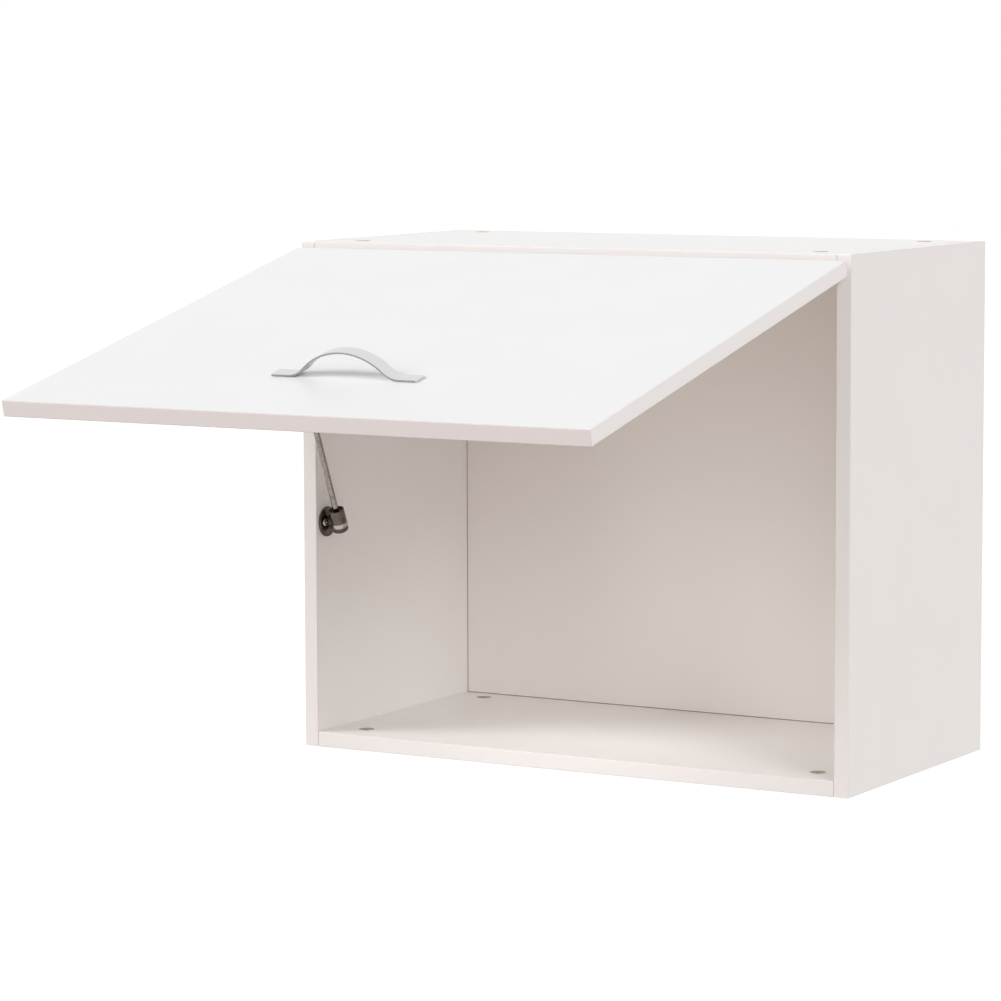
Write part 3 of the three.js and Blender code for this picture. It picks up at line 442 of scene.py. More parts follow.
def hardboard(name, middle, halfSize):
    look = hardboardLook
    material, tree = emptyMaterial(name)
    coordinates = addNode(tree, "TexCoord").outputs["Object"]
    ownAxes = {"vector_type": "TEXTURE", "Location": middle}
    centred = addNode(tree, "Mapping", ownAxes, {"Vector": coordinates})
    place = addNode(tree, "SeparateXYZ", {}, {0: centred})
    behind = addNode(tree, "Math", {"operation": "GREATER_THAN", 1: 0.0}, {0: place.outputs[1]})
    # The distance past the opening's edge, the greater of across and up, is below 0 inside it.
    past = []
    for axis in (0, 2):
        off = addNode(tree, "Math", {"operation": "ABSOLUTE"}, {0: place.outputs[axis]})
        beyond = {"operation": "SUBTRACT", 1: halfSize[axis]}
        past.append(addNode(tree, "Math", beyond, {0: off}))
    nearest = addNode(tree, "Math", {"operation": "MAXIMUM"}, {0: past[0], 1: past[1]})
    # Painted shade: the paint turns brownish within the last fraction of a millimetre inside the opening's
    # edge.
    paintedGrooveShade = addNode(tree, "MapRange", {"From Min": -look["paintedGrooveShadeMm"] / 1000,
                       "From Max": -look["paintedGrooveShadeMm"] / 2000}, {"Value": nearest})
    painted = addNode(tree, "Mix", {"data_type": "RGBA", 6: linearColour(look["paint"]),
                      7: linearColour(look["paintedGrooveShade"])}, {0: paintedGrooveShade})
    upwards = {"Scale": (1, 1, look["fibreStretch"])}
    stretched = addNode(tree, "Mapping", upwards, {"Vector": coordinates})
    fibres = addNode(tree, "TexNoise", {"Scale": patternScale(look["fibreMm"]), "Detail": 8.0,
                     "Roughness": 0.7}, {"Vector": stretched})
    brown = addNode(tree, "Mix", {"data_type": "RGBA", 6: linearColour(look["fibreDark"]),
                    7: linearColour(look["fibre"])}, {0: fibres})
    base = addNode(tree, "Mix", {"data_type": "RGBA"},
                   {0: behind, 6: painted.outputs[2], 7: brown.outputs[2]})
    roller = addNode(tree, "TexNoise", {"Scale": patternScale(look["rollerMm"]), "Detail": 3.0},
                     {"Vector": coordinates})
    screen = addNode(tree, "TexVoronoi", {"Scale": patternScale(look["meshMm"]),
                     "Randomness": look["meshUneven"]}, {"Vector": coordinates})
    height = addNode(tree, "Mix", {"data_type": "FLOAT"},
                     {0: behind, 2: roller, 3: screen.outputs["Distance"]})
    relief = {"Distance": look["reliefDepth"] / 1000, "Strength": look["reliefStrength"]}
    bump = addNode(tree, "Bump", relief, {"Height": height})
    smooth, bare = look["roughness"]
    gloss = addNode(tree, "MapRange", {"To Min": smooth, "To Max": bare}, {"Value": behind})
    shader = addNode(tree, "BsdfPrincipled", {"IOR": look["ior"]}, {
        "Base Color": base.outputs[2], "Roughness": gloss, "Normal": bump})
    addNode(tree, "OutputMaterial", {}, {"Surface": shader})
    return material


# A metal whose colour is cloudy at one size and whose gloss is broken up at another.
def metal(name, look):
    material, tree = emptyMaterial(name)
    coordinates = addNode(tree, "TexCoord").outputs["Object"]
    grain = addNode(tree, "TexNoise", {"Scale": patternScale(look["grainMm"]), "Detail": 4.0,
                    "Roughness": 0.65}, {"Vector": coordinates})
    cloud = addNode(tree, "TexNoise", {"Scale": patternScale(look["cloudMm"]), "Detail": 3.0},
                    {"Vector": coordinates})
    tint = addNode(tree, "MapRange", noiseSpread, {"Value": cloud})
    base = addNode(tree, "Mix", {"data_type": "RGBA", 6: linearColour(look["dull"]),
                   7: linearColour(look["colour"])}, {0: tint})
    low, high = look["roughness"]
    gloss = addNode(tree, "MapRange", {**noiseSpread, "To Min": low, "To Max": high}, {"Value": grain})
    bump = addNode(tree, "Bump", {"Distance": look["grainDepth"] / 1000,
                   "Strength": grainStrength}, {"Height": grain})
    shader = addNode(tree, "BsdfPrincipled", {"Metallic": 1.0}, {
        "Base Color": base.outputs[2], "Roughness": gloss, "Normal": bump})
    addNode(tree, "OutputMaterial", {}, {"Surface": shader})
    return material


# Anodised aluminium strip, brushed along its length before the bath, so its glints are long and soft.
# Its sheared edges weren't brushed and stay dull; their darker colour is painted shade. Its own X runs along
# it, its own Z across.
brushedLook = {"light": "E3E3E3", "dark": "D8D8D9", "dullEdgePaintedShade": "A8A8A8", "strokeMm": 20, "finenessMm": 0.5,
               "depth": 0.01, "roughness": (0.3, 0.42), "shearedRoughness": 0.55, "shearedMm": 0.35}


def brushedStrip(name, middle, turn, halfWidth):
    look = brushedLook
    material, tree = emptyMaterial(name)
    coordinates = addNode(tree, "TexCoord").outputs["Object"]
    ownAxes = {"vector_type": "TEXTURE", "Location": middle, "Rotation": (turn, 0, 0)}
    own = addNode(tree, "Mapping", ownAxes, {"Vector": coordinates})
    stretched = {"Scale": (look["finenessMm"] / look["strokeMm"], 1, 1)}
    along = addNode(tree, "Mapping", stretched, {"Vector": own})
    strokes = addNode(tree, "TexNoise", {"Scale": patternScale(look["finenessMm"]), "Detail": 4.0,
                      "Roughness": 0.65}, {"Vector": along})
    brushed = addNode(tree, "Mix", {"data_type": "RGBA", 6: linearColour(look["dark"]),
                      7: linearColour(look["light"])}, {0: strokes}).outputs[2]
    across = addNode(tree, "SeparateXYZ", {}, {0: own}).outputs[2]
    off = addNode(tree, "Math", {"operation": "ABSOLUTE"}, {0: across})
    # Near either edge the colour turns to a darker grey as painted shade, and the gloss turns dull.
    edge = {"From Min": halfWidth - look["shearedMm"] / 1000, "From Max": halfWidth}
    dullEdgePaintedShade = addNode(tree, "MapRange", edge, {"Value": off})
    base = addNode(tree, "Mix", {"data_type": "RGBA", 7: linearColour(look["dullEdgePaintedShade"])},
                   {0: dullEdgePaintedShade, 6: brushed}).outputs[2]
    low, high = look["roughness"]
    satin = addNode(tree, "MapRange", {**noiseSpread, "To Min": low, "To Max": high}, {"Value": strokes})
    gloss = addNode(tree, "Mix", {"data_type": "FLOAT", 3: look["shearedRoughness"]},
                    {0: dullEdgePaintedShade, 2: satin})
    bump = addNode(tree, "Bump", {"Distance": look["depth"] / 1000, "Strength": grainStrength},
                   {"Height": strokes})
    shader = addNode(tree, "BsdfPrincipled", {"Metallic": 1.0},
                     {"Base Color": base, "Roughness": gloss, "Normal": bump})
    addNode(tree, "OutputMaterial", {}, {"Surface": shader})
    return material


# Moulded plastic: spark-eroded tool skin, a fine even grain that breaks up the gloss.
mouldedSkin = {"grainMm": 0.5, "grainDepth": 0.02, "flowMm": 14, "ior": 1.46}


def mouldedPlastic(name, colours):
    look = {**mouldedSkin, **colours}
    material, tree = emptyMaterial(name)
    coordinates = addNode(tree, "TexCoord").outputs["Object"]
    grain = addNode(tree, "TexNoise", {"Scale": patternScale(look["grainMm"]), "Detail": 2.0},
                    {"Vector": coordinates})
    flow = addNode(tree, "TexNoise", {"Scale": patternScale(look["flowMm"]), "Detail": 2.0},
                   {"Vector": coordinates})
    base = addNode(tree, "Mix", {"data_type": "RGBA", 6: linearColour(look["dull"]),
                   7: linearColour(look["colour"])}, {0: flow})
    low, high = look["roughness"]
    gloss = addNode(tree, "MapRange", {"To Min": low, "To Max": high}, {"Value": grain})
    bump = addNode(tree, "Bump", {"Distance": look["grainDepth"] / 1000,
                   "Strength": grainStrength}, {"Height": grain})
    shader = addNode(tree, "BsdfPrincipled", {"IOR": look["ior"]}, {
        "Base Color": base.outputs[2], "Roughness": gloss, "Normal": bump})
    addNode(tree, "OutputMaterial", {}, {"Surface": shader})
    return material


# Nickel plate on pressed steel: warm grey, smooth, slightly rippled by the press.
nickelPlate = metal("nickelPlatedSteel", {"colour": "BDB8B0", "dull": "A9A49C", "roughness": (0.2, 0.3),
                                          "grainMm": 1.4, "grainDepth": 0.02, "cloudMm": 9})
# Black nickel on a die casting: dark bronze grey, semi-gloss with a soft skin.
blackNickel = metal("blackNickelCasting", {"colour": "70665F", "dull": "554D47", "roughness": (0.22, 0.34),
                                           "grainMm": 0.9, "grainDepth": 0.02, "cloudMm": 9})
# Chrome over a turned band: bright and warm from what it mirrors, with a fine turned grain.
chromePlate = metal("chromePlatedBand", {"colour": "BCB1A9", "dull": "9E938B", "roughness": (0.08, 0.16),
                                         "grainMm": 0.6, "grainDepth": 0.01, "cloudMm": 9})
# The rod is drawn steel, painted darker than the band as a painted reflection of the shaded cabinet it
# mirrors, and faintly streaked.
drawnRod = metal("rodWithPaintedDarkReflection", {"colour": "A19891", "dull": "7D756F", "roughness": (0.08, 0.2),
                                      "grainMm": 0.5, "grainDepth": 0.015, "cloudMm": 3})
# Zinc plate on screws, links and hooks: cool grey with a faint patchy bloom.
zincPlate = metal("zincPlatedSteel", {"colour": "B3B4B2", "dull": "989A98", "roughness": (0.28, 0.42),
                                      "grainMm": 0.7, "grainDepth": 0.015, "cloudMm": 4})
# Zinc die casting, tumbled and left bare: pale, dull and lightly pitted.
dieCastZinc = metal("zincDieCasting", {"colour": "CBC6C1", "dull": "B4AEA8", "roughness": (0.35, 0.5),
                                       "grainMm": 0.5, "grainDepth": 0.02, "cloudMm": 3})
# The hangers' housings are white ABS, even and half matt.
whiteAbs = mouldedPlastic("whiteMouldedAbs", {"colour": "EDECEA", "dull": "E4E3E0",
                                              "roughness": (0.42, 0.55)})
# The stay's end buffer is dark nylon, a little waxy.
darkNylon = mouldedPlastic("darkMouldedNylon", {"colour": "5C544E", "dull": "4B443F",
                                                "roughness": (0.34, 0.48)})

print("materials made")


boardShape = {"arris": 0.7, "steps": 3}
# Each board's face white and its band whites by axis; the band whites hold painted shade and light.
boards = {
    "side_left": ("carcass", {1: "frontBandPaintedShade", 2: "endBand"}),
    "side_right": ("carcass", {1: "frontBandPaintedShade", 2: "endBand"}),
    "top_board": ("carcass", {1: "frontBandPaintedShade"}),
    "bottom_board": ("carcass", {1: "frontBandPaintedShade"}),
    "door_panel": ("door", {0: "doorSideBandPaintedLight", 2: "doorEndBandPaintedShade"}),
}


# The CAD board with its twelve outer arrises eased. Faces of bores and grooves, and of the rear edges,
# are marked raw.
def board(node, white, bands):
    onDoor = node == "door_panel"
    turn = doorPlace[0] if onDoor else np.eye(3)
    low, high = (corner / 1000 for corner in localBox(node, (turn, np.zeros(3))))
    middle, half = (low + high) / 2, (high - low) / 2
    piece = mergedCopy(node, node + "_eased")
    mesh = piece.data
    local = meshPoints(mesh) @ turn - middle
    ends = np.zeros(len(mesh.edges) * 2, np.int32)
    mesh.edges.foreach_get("vertices", ends)
    onPlane = np.abs(np.abs(local) - half) < tolerance["onPlane"]
    samePlane = onPlane[ends[::2]] & onPlane[ends[1::2]]
    weight = (samePlane.sum(1) >= 2).astype(np.float32)
    mesh.attributes.new("bevel_weight_edge", "FLOAT", "EDGE").data.foreach_set("value", weight)
    raw = [rawFace(local[list(face.vertices)], half, onDoor) for face in mesh.polygons]
    mesh.attributes.new("raw", "FLOAT", "FACE").data.foreach_set("value", raw)
    easing = piece.modifiers.new("easedArris", "BEVEL")
    easing.width = boardShape["arris"] / 1000
    easing.segments = boardShape["steps"]
    easing.limit_method = "WEIGHT"
    easing.use_clamp_overlap = False
    look = melamine(node + "Melamine", white, bands, tuple(turn @ middle), half,
                    -openTurn if onDoor else 0.0)
    finished(piece, "door" if onDoor else "carcass", look, node)


# 1 where a face lies inside the board's outer planes, or on its unbanded rear edge.
def rawFace(corners, half, onDoor):
    flat = (np.abs(np.abs(corners) - half) < tolerance["onPlane"]).all(0)
    outer = flat & (np.abs(np.sign(corners).sum(0)) == len(corners))
    rear = outer[1] and corners[0, 1] > 0 and not onDoor
    return float(rear or not outer.any())


for node, (white, bands) in boards.items():
    board(node, white, bands)

backLow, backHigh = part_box("back_panel")
openLow = np.array([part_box("side_left")[1][0], backLow[1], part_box("bottom_board")[1][2]])
openHigh = np.array([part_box("side_right")[0][0], backHigh[1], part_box("top_board")[0][2]])
painted = hardboard("paintedHardboard", tuple((openLow + openHigh) / 2), (openHigh - openLow) / 2)
giveMaterial(frame["nodes"]["back_panel"], painted)
print("boards eased")


camShape = {"lip": 0.9, "lipSlope": 0.3, "dish": 0.5, "edge": 0.25, "crossReach": 4.8, "crossWidth": 2.1,
            "crossDepth": 2.4, "wall": 0.35, "eye": 2.9, "eyeDepth": 2.2, "rings": 26, "sides": 96,
            "angles": (0.35, 0.9, 0.62, 1.15)}


# A die-cast disc: profile (r, z) turned about Z with a dished face, less a cross recess and a round eye
# whose depth fades with the distance from the middle.
def cam(node, angle):
    shape = camShape
    place = fastenerPlace(node, (0, 0, 1))
    low, high = localBox(node, place)
    radius, bottom = (high[0] - low[0]) / 2, low[2]
    mouth = radius - shape["lip"]
    face = np.linspace(0, mouth, shape["rings"])[1:]
    dished = np.stack([face, -shape["dish"] + 0 * face], 1)
    rim = softened([dished[-1], (mouth + shape["lipSlope"], 0), (radius, 0), (radius, bottom), (0, bottom)],
                   shape["edge"])
    grid = turnedSurface(np.concatenate([[(0, -shape["dish"])], dished, rim[1:]]), shape["sides"])
    top = grid[:len(dished) + 1]
    crossRecess(top, shape, angle)
    distance = np.hypot(top[..., 0], top[..., 1])
    top[..., 2] -= shape["eyeDepth"] * nearerThan(shape["eye"], shape["wall"], distance)
    finished(shell(node + "_face", grid, place), "carcass", dieCastZinc, node)


screwShape = {"headHeight": 1.9, "headRadius": 3.4, "shankRadius": 1.6, "tip": 3.2, "crossReach": 1.9,
              "crossWidth": 0.9, "crossDepth": 1.2, "wall": 0.16, "edge": 0.3, "crown": 0.9,
              "crownPower": 2.6, "rings": 26}
handleScrewShape = dict(screwShape, headHeight=2.4, headRadius=4.2, shankRadius=2.0, tip=0.4, crown=1.1,
                        crossReach=2.4, crossWidth=1.1)
hangerScrewShape = dict(screwShape, headHeight=2.5, headRadius=4.5, shankRadius=3.0, tip=0.5, crown=0.8,
                        crossReach=2.6, crossWidth=1.2)


# A pan head on a shank: the head's top is a shallow dome z = h - crown (r/R)^power, less a cross recess.
def screw(node, direction, body, shape, material):
    place = fastenerPlace(node, direction, shape["headHeight"])
    low, high = localBox(node, place)
    radius, height = shape["headRadius"], shape["headHeight"]
    dome = np.linspace(0, radius - shape["edge"], shape["rings"])
    top = np.stack([dome, height - shape["crown"] * (dome / radius) ** shape["crownPower"]], 1)
    side = softened([top[-1], (radius, top[-1, 1] - shape["edge"]), (radius, 0), (shape["shankRadius"], 0),
                     (shape["shankRadius"], low[2] + shape["tip"]), (0, low[2])], shape["edge"], steps=3)
    grid = turnedSurface(np.concatenate([top, side[1:]]))
    head = grid[:len(top)]
    crossRecess(head, shape)
    finished(shell(node + "_cross", grid, place), body, material, node)


for row in ("top", "bottom"):
    for index, end in enumerate(("front", "rear")):
        for hand, shift in (("left", 0), ("right", 2)):
            cam(f"cam_{row}_{end}_{hand}", camShape["angles"][index + shift])
            giveMaterial(frame["nodes"][f"cam_bolt_{row}_{end}_{hand}"], zincPlate)

for hand in ("left", "right"):
    for number in (1, 2):
        screw(f"hinge_cup_screw_{hand}_{number}", doorInwards, "door", screwShape, zincPlate)
        screw(f"hinge_plate_screw_{hand}_{number}", (0, 0, -1), "carcass", screwShape,
              zincPlate)
    screw(f"hanger_screw_{hand}", (0, -1, 0), "carcass", hangerScrewShape, zincPlate)
for number in (1, 2):
    screw(f"handle_screw_{number}", doorInwards, "door", handleScrewShape, zincPlate)
    screw(f"stay_bracket_screw_{number}", doorInwards, "door", screwShape, zincPlate)
    screw(f"stay_base_screw_{number}", (1, 0, 0), "carcass", screwShape, nickelPlate)
print("cams and screws set")


handleShape = {"thickness": 2.0, "tab": 18.0, "footRadius": 24.0, "corner": 1.6, "edge": 0.5, "blend": 4.0,
               "squareness": 7, "rows": 420, "sides": 48, "holeSpacing": 128.0, "bossRadius": 4.0,
               "bossLength": 3.0, "bossSetIn": 1.0, "bossRound": 0.3, "bossSides": 40}


# The strap's middle line comes from its bend: straight tab, hollow bend of 1/foot, arch of -1/arch, and
# the same again mirrored. The bend is smoothed, summed to a heading, and summed again to x, z.
def handlePath(length, rise):
    shape = handleShape
    halfSpan = length / 2 - shape["tab"]
    sweep = 2 * math.atan2(rise, halfSpan)
    bothRadii = halfSpan / math.sin(sweep)
    foot = shape["footRadius"] - shape["thickness"] / 2
    arch = bothRadii - foot
    lengths = [shape["tab"], foot * sweep, 2 * arch * sweep, foot * sweep, shape["tab"]]
    bends = np.array([0, 1 / foot, -1 / arch, 1 / foot, 0])
    ends = np.cumsum(lengths)
    s = np.linspace(0, ends[-1], shape["rows"])
    bend = bends[np.searchsorted(ends[:-1], s, side="right")]
    kernel = np.hanning(int(shape["blend"] / s[1]) + 2)
    bend = np.convolve(np.pad(bend, len(kernel), mode="edge"), kernel / kernel.sum(), "same")
    bend = bend[len(kernel):-len(kernel)]
    heading = np.concatenate([[0], np.cumsum((bend[1:] + bend[:-1]) / 2) * s[1]])
    step = np.stack([np.cos(heading), np.sin(heading)], 1)
    path = np.concatenate([[(0, 0)], np.cumsum((step[1:] + step[:-1]) / 2, 0) * s[1]])
    path[:, 0] -= path[-1, 0] / 2
    path[:, 0] *= length / (2 * path[-1, 0])
    path[:, 1] *= rise / path[:, 1].max()
    return path, s


def handle():
    shape = handleShape
    low, high = localBox("handle", doorPlace)
    length, halfWidth = high[0] - low[0], (high[2] - low[2]) / 2
    seat = high[1] - shape["bossLength"]
    rise = seat - low[1] - shape["thickness"]
    path, s = handlePath(length, rise)
    fromEnd = np.minimum(s, s[-1] - s)
    # The ends round off in width over the corner, and in thickness over the edge, as quarter circles.
    cornerCut, edgeCut = (size * (1 - np.sqrt(1 - np.clip(1 - fromEnd / size, 0, 1) ** 2))
                          for size in (shape["corner"], shape["edge"]))
    width = halfWidth - cornerCut
    thick = shape["thickness"] / 2 - edgeCut
    grid = sweptStrap(path, width, thick, shape["squareness"], shape["sides"])
    # Local: X along the strap, Y across it, Z out of the door.
    turn = np.stack([doorPlace[0] @ axis for axis in ([1, 0, 0], [0, 0, -1], [0, -1, 0])], 1)
    middle = np.array([0, seat - shape["thickness"] / 2, (low[2] + high[2]) / 2])
    origin = doorPlace[1] + doorPlace[0] @ middle / 1000
    strap = shell("handle_strap", grid, (turn, origin))
    # The bosses are round posts down to the door, turned about the screws.
    bosses = []
    profile = plainPost(shape["bossRadius"], 0, -shape["bossLength"] - shape["bossSetIn"])
    post = turnedSurface(softened(profile, shape["bossRound"]), shape["bossSides"])
    for side in (-1, 1):
        bossOrigin = origin + turn @ np.array([side * shape["holeSpacing"] / 2, 0, 0]) / 1000
        bosses.append(shell("handleBoss", post, (turn, bossOrigin)))
    fused(strap, *bosses)
    satin = brushedStrip("brushedAnodisedStrip", tuple(origin), -openTurn, halfWidth / 1000)
    finished(strap, "door", satin, "handle")


handle()
print("handle bent")


cupShape = {"radius": 17.35, "wall": 1.3, "floor": 0.8, "flange": 1.2, "flangeRadius": 18.6,
            "earLength": 31.0, "earRadius": 7.0, "earOffset": 6.0, "earBlend": (0.8, 1.2), "mouthRound": 0.9,
            "floorRound": 3.0, "baseRound": 2.0, "edge": 0.35, "sides": 180, "edgeRings": 7,
            "flangeRings": (0.12, 0.94, 10)}   # the first and last share, and how many


# How far a ray at each angle runs inside the ears' round-ended bar, found by halving, or the round flange
# if that is further. Where the two are close, a little more fills the corner.
def cupOutline(angle):
    shape = cupShape
    near, far = np.zeros_like(angle), np.full_like(angle, 1.5 * shape["earLength"])
    for halving in range(40):
        middle = (near + far) / 2
        x, y = middle * np.cos(angle), middle * np.sin(angle)
        along = np.clip(np.abs(x) - (shape["earLength"] - shape["earRadius"]), 0, None)
        inside = np.hypot(along, y - shape["earOffset"]) <= shape["earRadius"]
        near, far = np.where(inside, middle, near), np.where(inside, far, middle)
    bar, disc = near, shape["flangeRadius"]
    fill, reach = shape["earBlend"]
    return np.maximum(bar, disc) + fill * np.exp(-np.abs(bar - disc) / reach)


# A pressed cup: inner wall, mouth, flange out to R(angle), its edge, and back under to the outer wall.
# Each flange ring's radius is a share of the way out to R, so that ears and disc are one surface.
def hingeCup(hand):
    shape = cupShape
    node = f"hinge_cup_{hand}"
    low, high = localBox(node, doorPlace)
    seat = np.array([(low[0] + high[0]) / 2, high[1], (low[2] + high[2]) / 2])
    origin = doorPlace[1] + doorPlace[0] @ seat / 1000
    turn = np.stack([doorPlace[0] @ axis for axis in ([1, 0, 0], [0, 0, -1], [0, 1, 0])], 1)
    depth = high[1] - low[1]
    angle = np.linspace(0, 2 * np.pi, shape["sides"], endpoint=False)
    outline = cupOutline(angle)
    mouth = shape["radius"] - shape["wall"]
    floor = shape["floor"] - depth
    inner = softened([(0, floor), (mouth, floor), (mouth, 0)], shape["floorRound"], steps=8)[:-1]
    lip = softened([inner[-1], (mouth, 0), (shape["radius"], 0)], shape["mouthRound"], steps=5)[1:]
    rings = [np.broadcast_to(p, (shape["sides"], 2)) for p in np.concatenate([inner, lip])]
    for share in np.linspace(*shape["flangeRings"]):
        reach = shape["radius"] + (outline - shape["edge"] - shape["radius"]) * share
        rings.append(np.stack([reach, 0 * angle], 1))
    for turned in np.linspace(0, np.pi, shape["edgeRings"]):
        radius = outline - shape["edge"] * (1 - math.sin(turned))
        height = -shape["flange"] / 2 + shape["flange"] / 2 * math.cos(turned)
        rings.append(np.stack([radius, height + 0 * angle], 1))
    outer = softened([(shape["radius"], -shape["flange"]), (shape["radius"], -depth), (0, -depth)],
                     shape["baseRound"], steps=6)
    rings += [np.broadcast_to(p, (shape["sides"], 2)) for p in outer]
    grid = turnedSurface(np.stack(rings), shape["sides"])
    finished(shell(node + "_pressed", grid, (turn, origin)), "door", nickelPlate, node)


edgeRounds = {"plate": 0.5, "arm": 0.6, "link": 0.3, "bracket": 0.4, "housing": 0.6, "hook": 0.4, "steps": 3}


# The CAD shape with its sharp edges rounded.
def pressedCopy(node, name, body, material, kind):
    piece = mergedCopy(node, name)
    rounding = piece.modifiers.new("roundedEdges", "BEVEL")
    rounding.width = edgeRounds[kind] / 1000
    rounding.segments = edgeRounds["steps"]
    rounding.limit_method = "ANGLE"
    rounding.angle_limit = math.radians(tolerance["round"])
    rounding.use_clamp_overlap = True
    finished(piece, body, material, node)


for hand in ("left", "right"):
    hingeCup(hand)
    for kind in ("plate", "arm"):
        part = f"hinge_{kind}_{hand}"
        pressedCopy(part, part + "_pressed", "carcass", nickelPlate, kind)
    for link in ("inner_link", "outer_link"):
        part = f"hinge_{link}_{hand}"
        pressedCopy(part, part + "_pressed", f"{link}_{hand}", zincPlate, "link")
print("hinges pressed")


stayFit = {"bore": 3.25, "gap": 0.3, "stubRadius": 6.3, "stubRounds": (0, 0, 0.4, 0)}

baseShape = {"domeRise": 1.3, "domeRings": 40, "pitRadius": 4.3, "pitDepth": 1.9, "pitWall": 0.4,
             "pitFloor": 0.5, "rim": 0.8, "rimDrop": 0.2, "rimRounds": (0, 0.2, 0.7, 0), "bossRadius": 5.0,
             "bossHeight": 2.5, "bossEdge": 0.5, "sides": 144}


# A low dome turned about the side's normal, z = flange - domeRise ((r - boss) / (R - boss))^2, with a
# boss in its middle, less two round pits for the screws, whose depth fades at their walls.
def stayBase():
    shape = baseShape
    place = (turnTowards((1, 0, 0)), np.array([baseLow[0], *stayMiddle[1:]]))
    radius = (baseHigh[1] - baseLow[1]) * 1000 / 2
    height = (baseHigh[0] - baseLow[0]) * 1000
    bossRadius, flange = shape["bossRadius"], height - shape["bossHeight"]
    rise = np.linspace(radius - shape["rim"], bossRadius, shape["domeRings"])
    fall = ((rise - bossRadius) / (radius - bossRadius)) ** 2
    dome = np.stack([rise, flange - shape["domeRise"] * fall], 1)
    rim = [(0, 0), (radius, 0), (radius, dome[0, 1] - shape["rimDrop"]), dome[0]]
    edge = softened(rim, shape["rimRounds"], steps=5)
    boss = softened([dome[-1], (bossRadius, height), (0, height)], shape["bossEdge"])
    grid = turnedSurface(np.concatenate([edge[:-1], dome, boss[1:]]), shape["sides"])
    top = grid[len(edge) - 1:len(edge) - 1 + len(dome)]
    for number in (1, 2):
        low, high = localBox(f"stay_base_screw_{number}", place)
        middle = (low + high) / 2
        distance = np.hypot(top[..., 0] - middle[0], top[..., 1] - middle[1])
        depth = shape["pitDepth"] * nearerThan(shape["pitRadius"], shape["pitWall"], distance)
        top[..., 2] = np.maximum(top[..., 2] - depth, shape["pitFloor"])
    finished(shell("stay_base_dome", grid, place), "carcass", blackNickel, "stay_base")


# A round bar along the swivel's axis, from a set-back on the far side of the rod to its reach.
def stubBar(radius, setBack, reach):
    profile = softened(plainPost(radius, -setBack, reach), stayFit["stubRounds"])
    return shell("stubBar", turnedSurface(profile), (turnTowards((-1, 0, 0)), stayMiddle))


barrelShape = {"mouthWall": 1.3, "mouthTaper": 0.5, "mouthDepth": 2.6, "sides": 72, "cutterRadius": 20.0,
               "cutterLength": 10.0, "rounds": (0, 0.4, 0.6, 0.5, 0.5, 0.3, 0)}


# The barrel is an open-mouthed can turned about the rod, with a round stub towards the base. The stub
# passes beside the ring and is cut flat where the ring ends.
def stayBarrel():
    shape = barrelShape
    low, high = localBox("stay_barrel", stayPlace)
    foot = localBox("stay_brake_ring", stayPlace)[1][2] + stayFit["gap"]
    radius, bore, top = high[0], stayFit["bore"], high[2]
    mouth, floor = radius - shape["mouthWall"], top - shape["mouthDepth"]
    can = [(bore, foot), (radius, foot), (radius, top), (mouth, top), (mouth - shape["mouthTaper"], floor),
           (bore, floor), (bore, foot)]
    profile = softened(can, shape["rounds"])
    sides = shape["sides"]
    barrel = shell("stay_barrel_can", turnedSurface(profile[:-1], sides), stayPlace, closedRows=True)
    stub = stubBar(stayFit["stubRadius"], 0, -low[0])
    below = plainPost(shape["cutterRadius"], low[2], low[2] - shape["cutterLength"])
    hole = plainPost(bore, top, low[2] - 1)
    pierced(stub, *(shell("cutter", turnedSurface(cutter, sides), stayPlace) for cutter in (below, hole)))
    fused(barrel, stub)
    finished(barrel, "swivel", blackNickel, "stay_barrel")


ringShape = {"swell": 0.25, "rounds": (0, 0.5, 1.5, 0.5, 0.2, 0), "sides": 96, "overrun": 2.0}


# A swelling band turned about the rod, open where the stub passes through it.
def stayRing():
    shape = ringShape
    low, high = localBox("stay_brake_ring", stayPlace)
    radius, bore, edge = high[0], stayFit["bore"], high[0] - shape["swell"]
    foot, top = low[2], high[2]
    band = [(bore, foot), (edge, foot), (radius, (foot + top) / 2), (edge, top), (bore, top), (bore, foot)]
    turned = turnedSurface(softened(band, shape["rounds"])[:-1], shape["sides"])
    ring = shell("stay_brake_ring_band", turned, stayPlace, closedRows=True)
    gap = stayFit["gap"]
    pierced(ring, stubBar(stayFit["stubRadius"] + gap, gap, radius + shape["overrun"]))
    finished(ring, "swivel", chromePlate, "stay_brake_ring")


rodShape = {"radius": 3.0, "tip": 0.4, "neck": 10.0, "neckSpread": 1.6, "eyeRadius": 6.0, "pinHole": 2.8,
            "eyeRounds": (0, 0.6, 0.6, 0.3, 0), "eyeInset": 2.0, "barRings": 8, "neckRings": 10,
            "sides": 40, "eyeSides": 56}


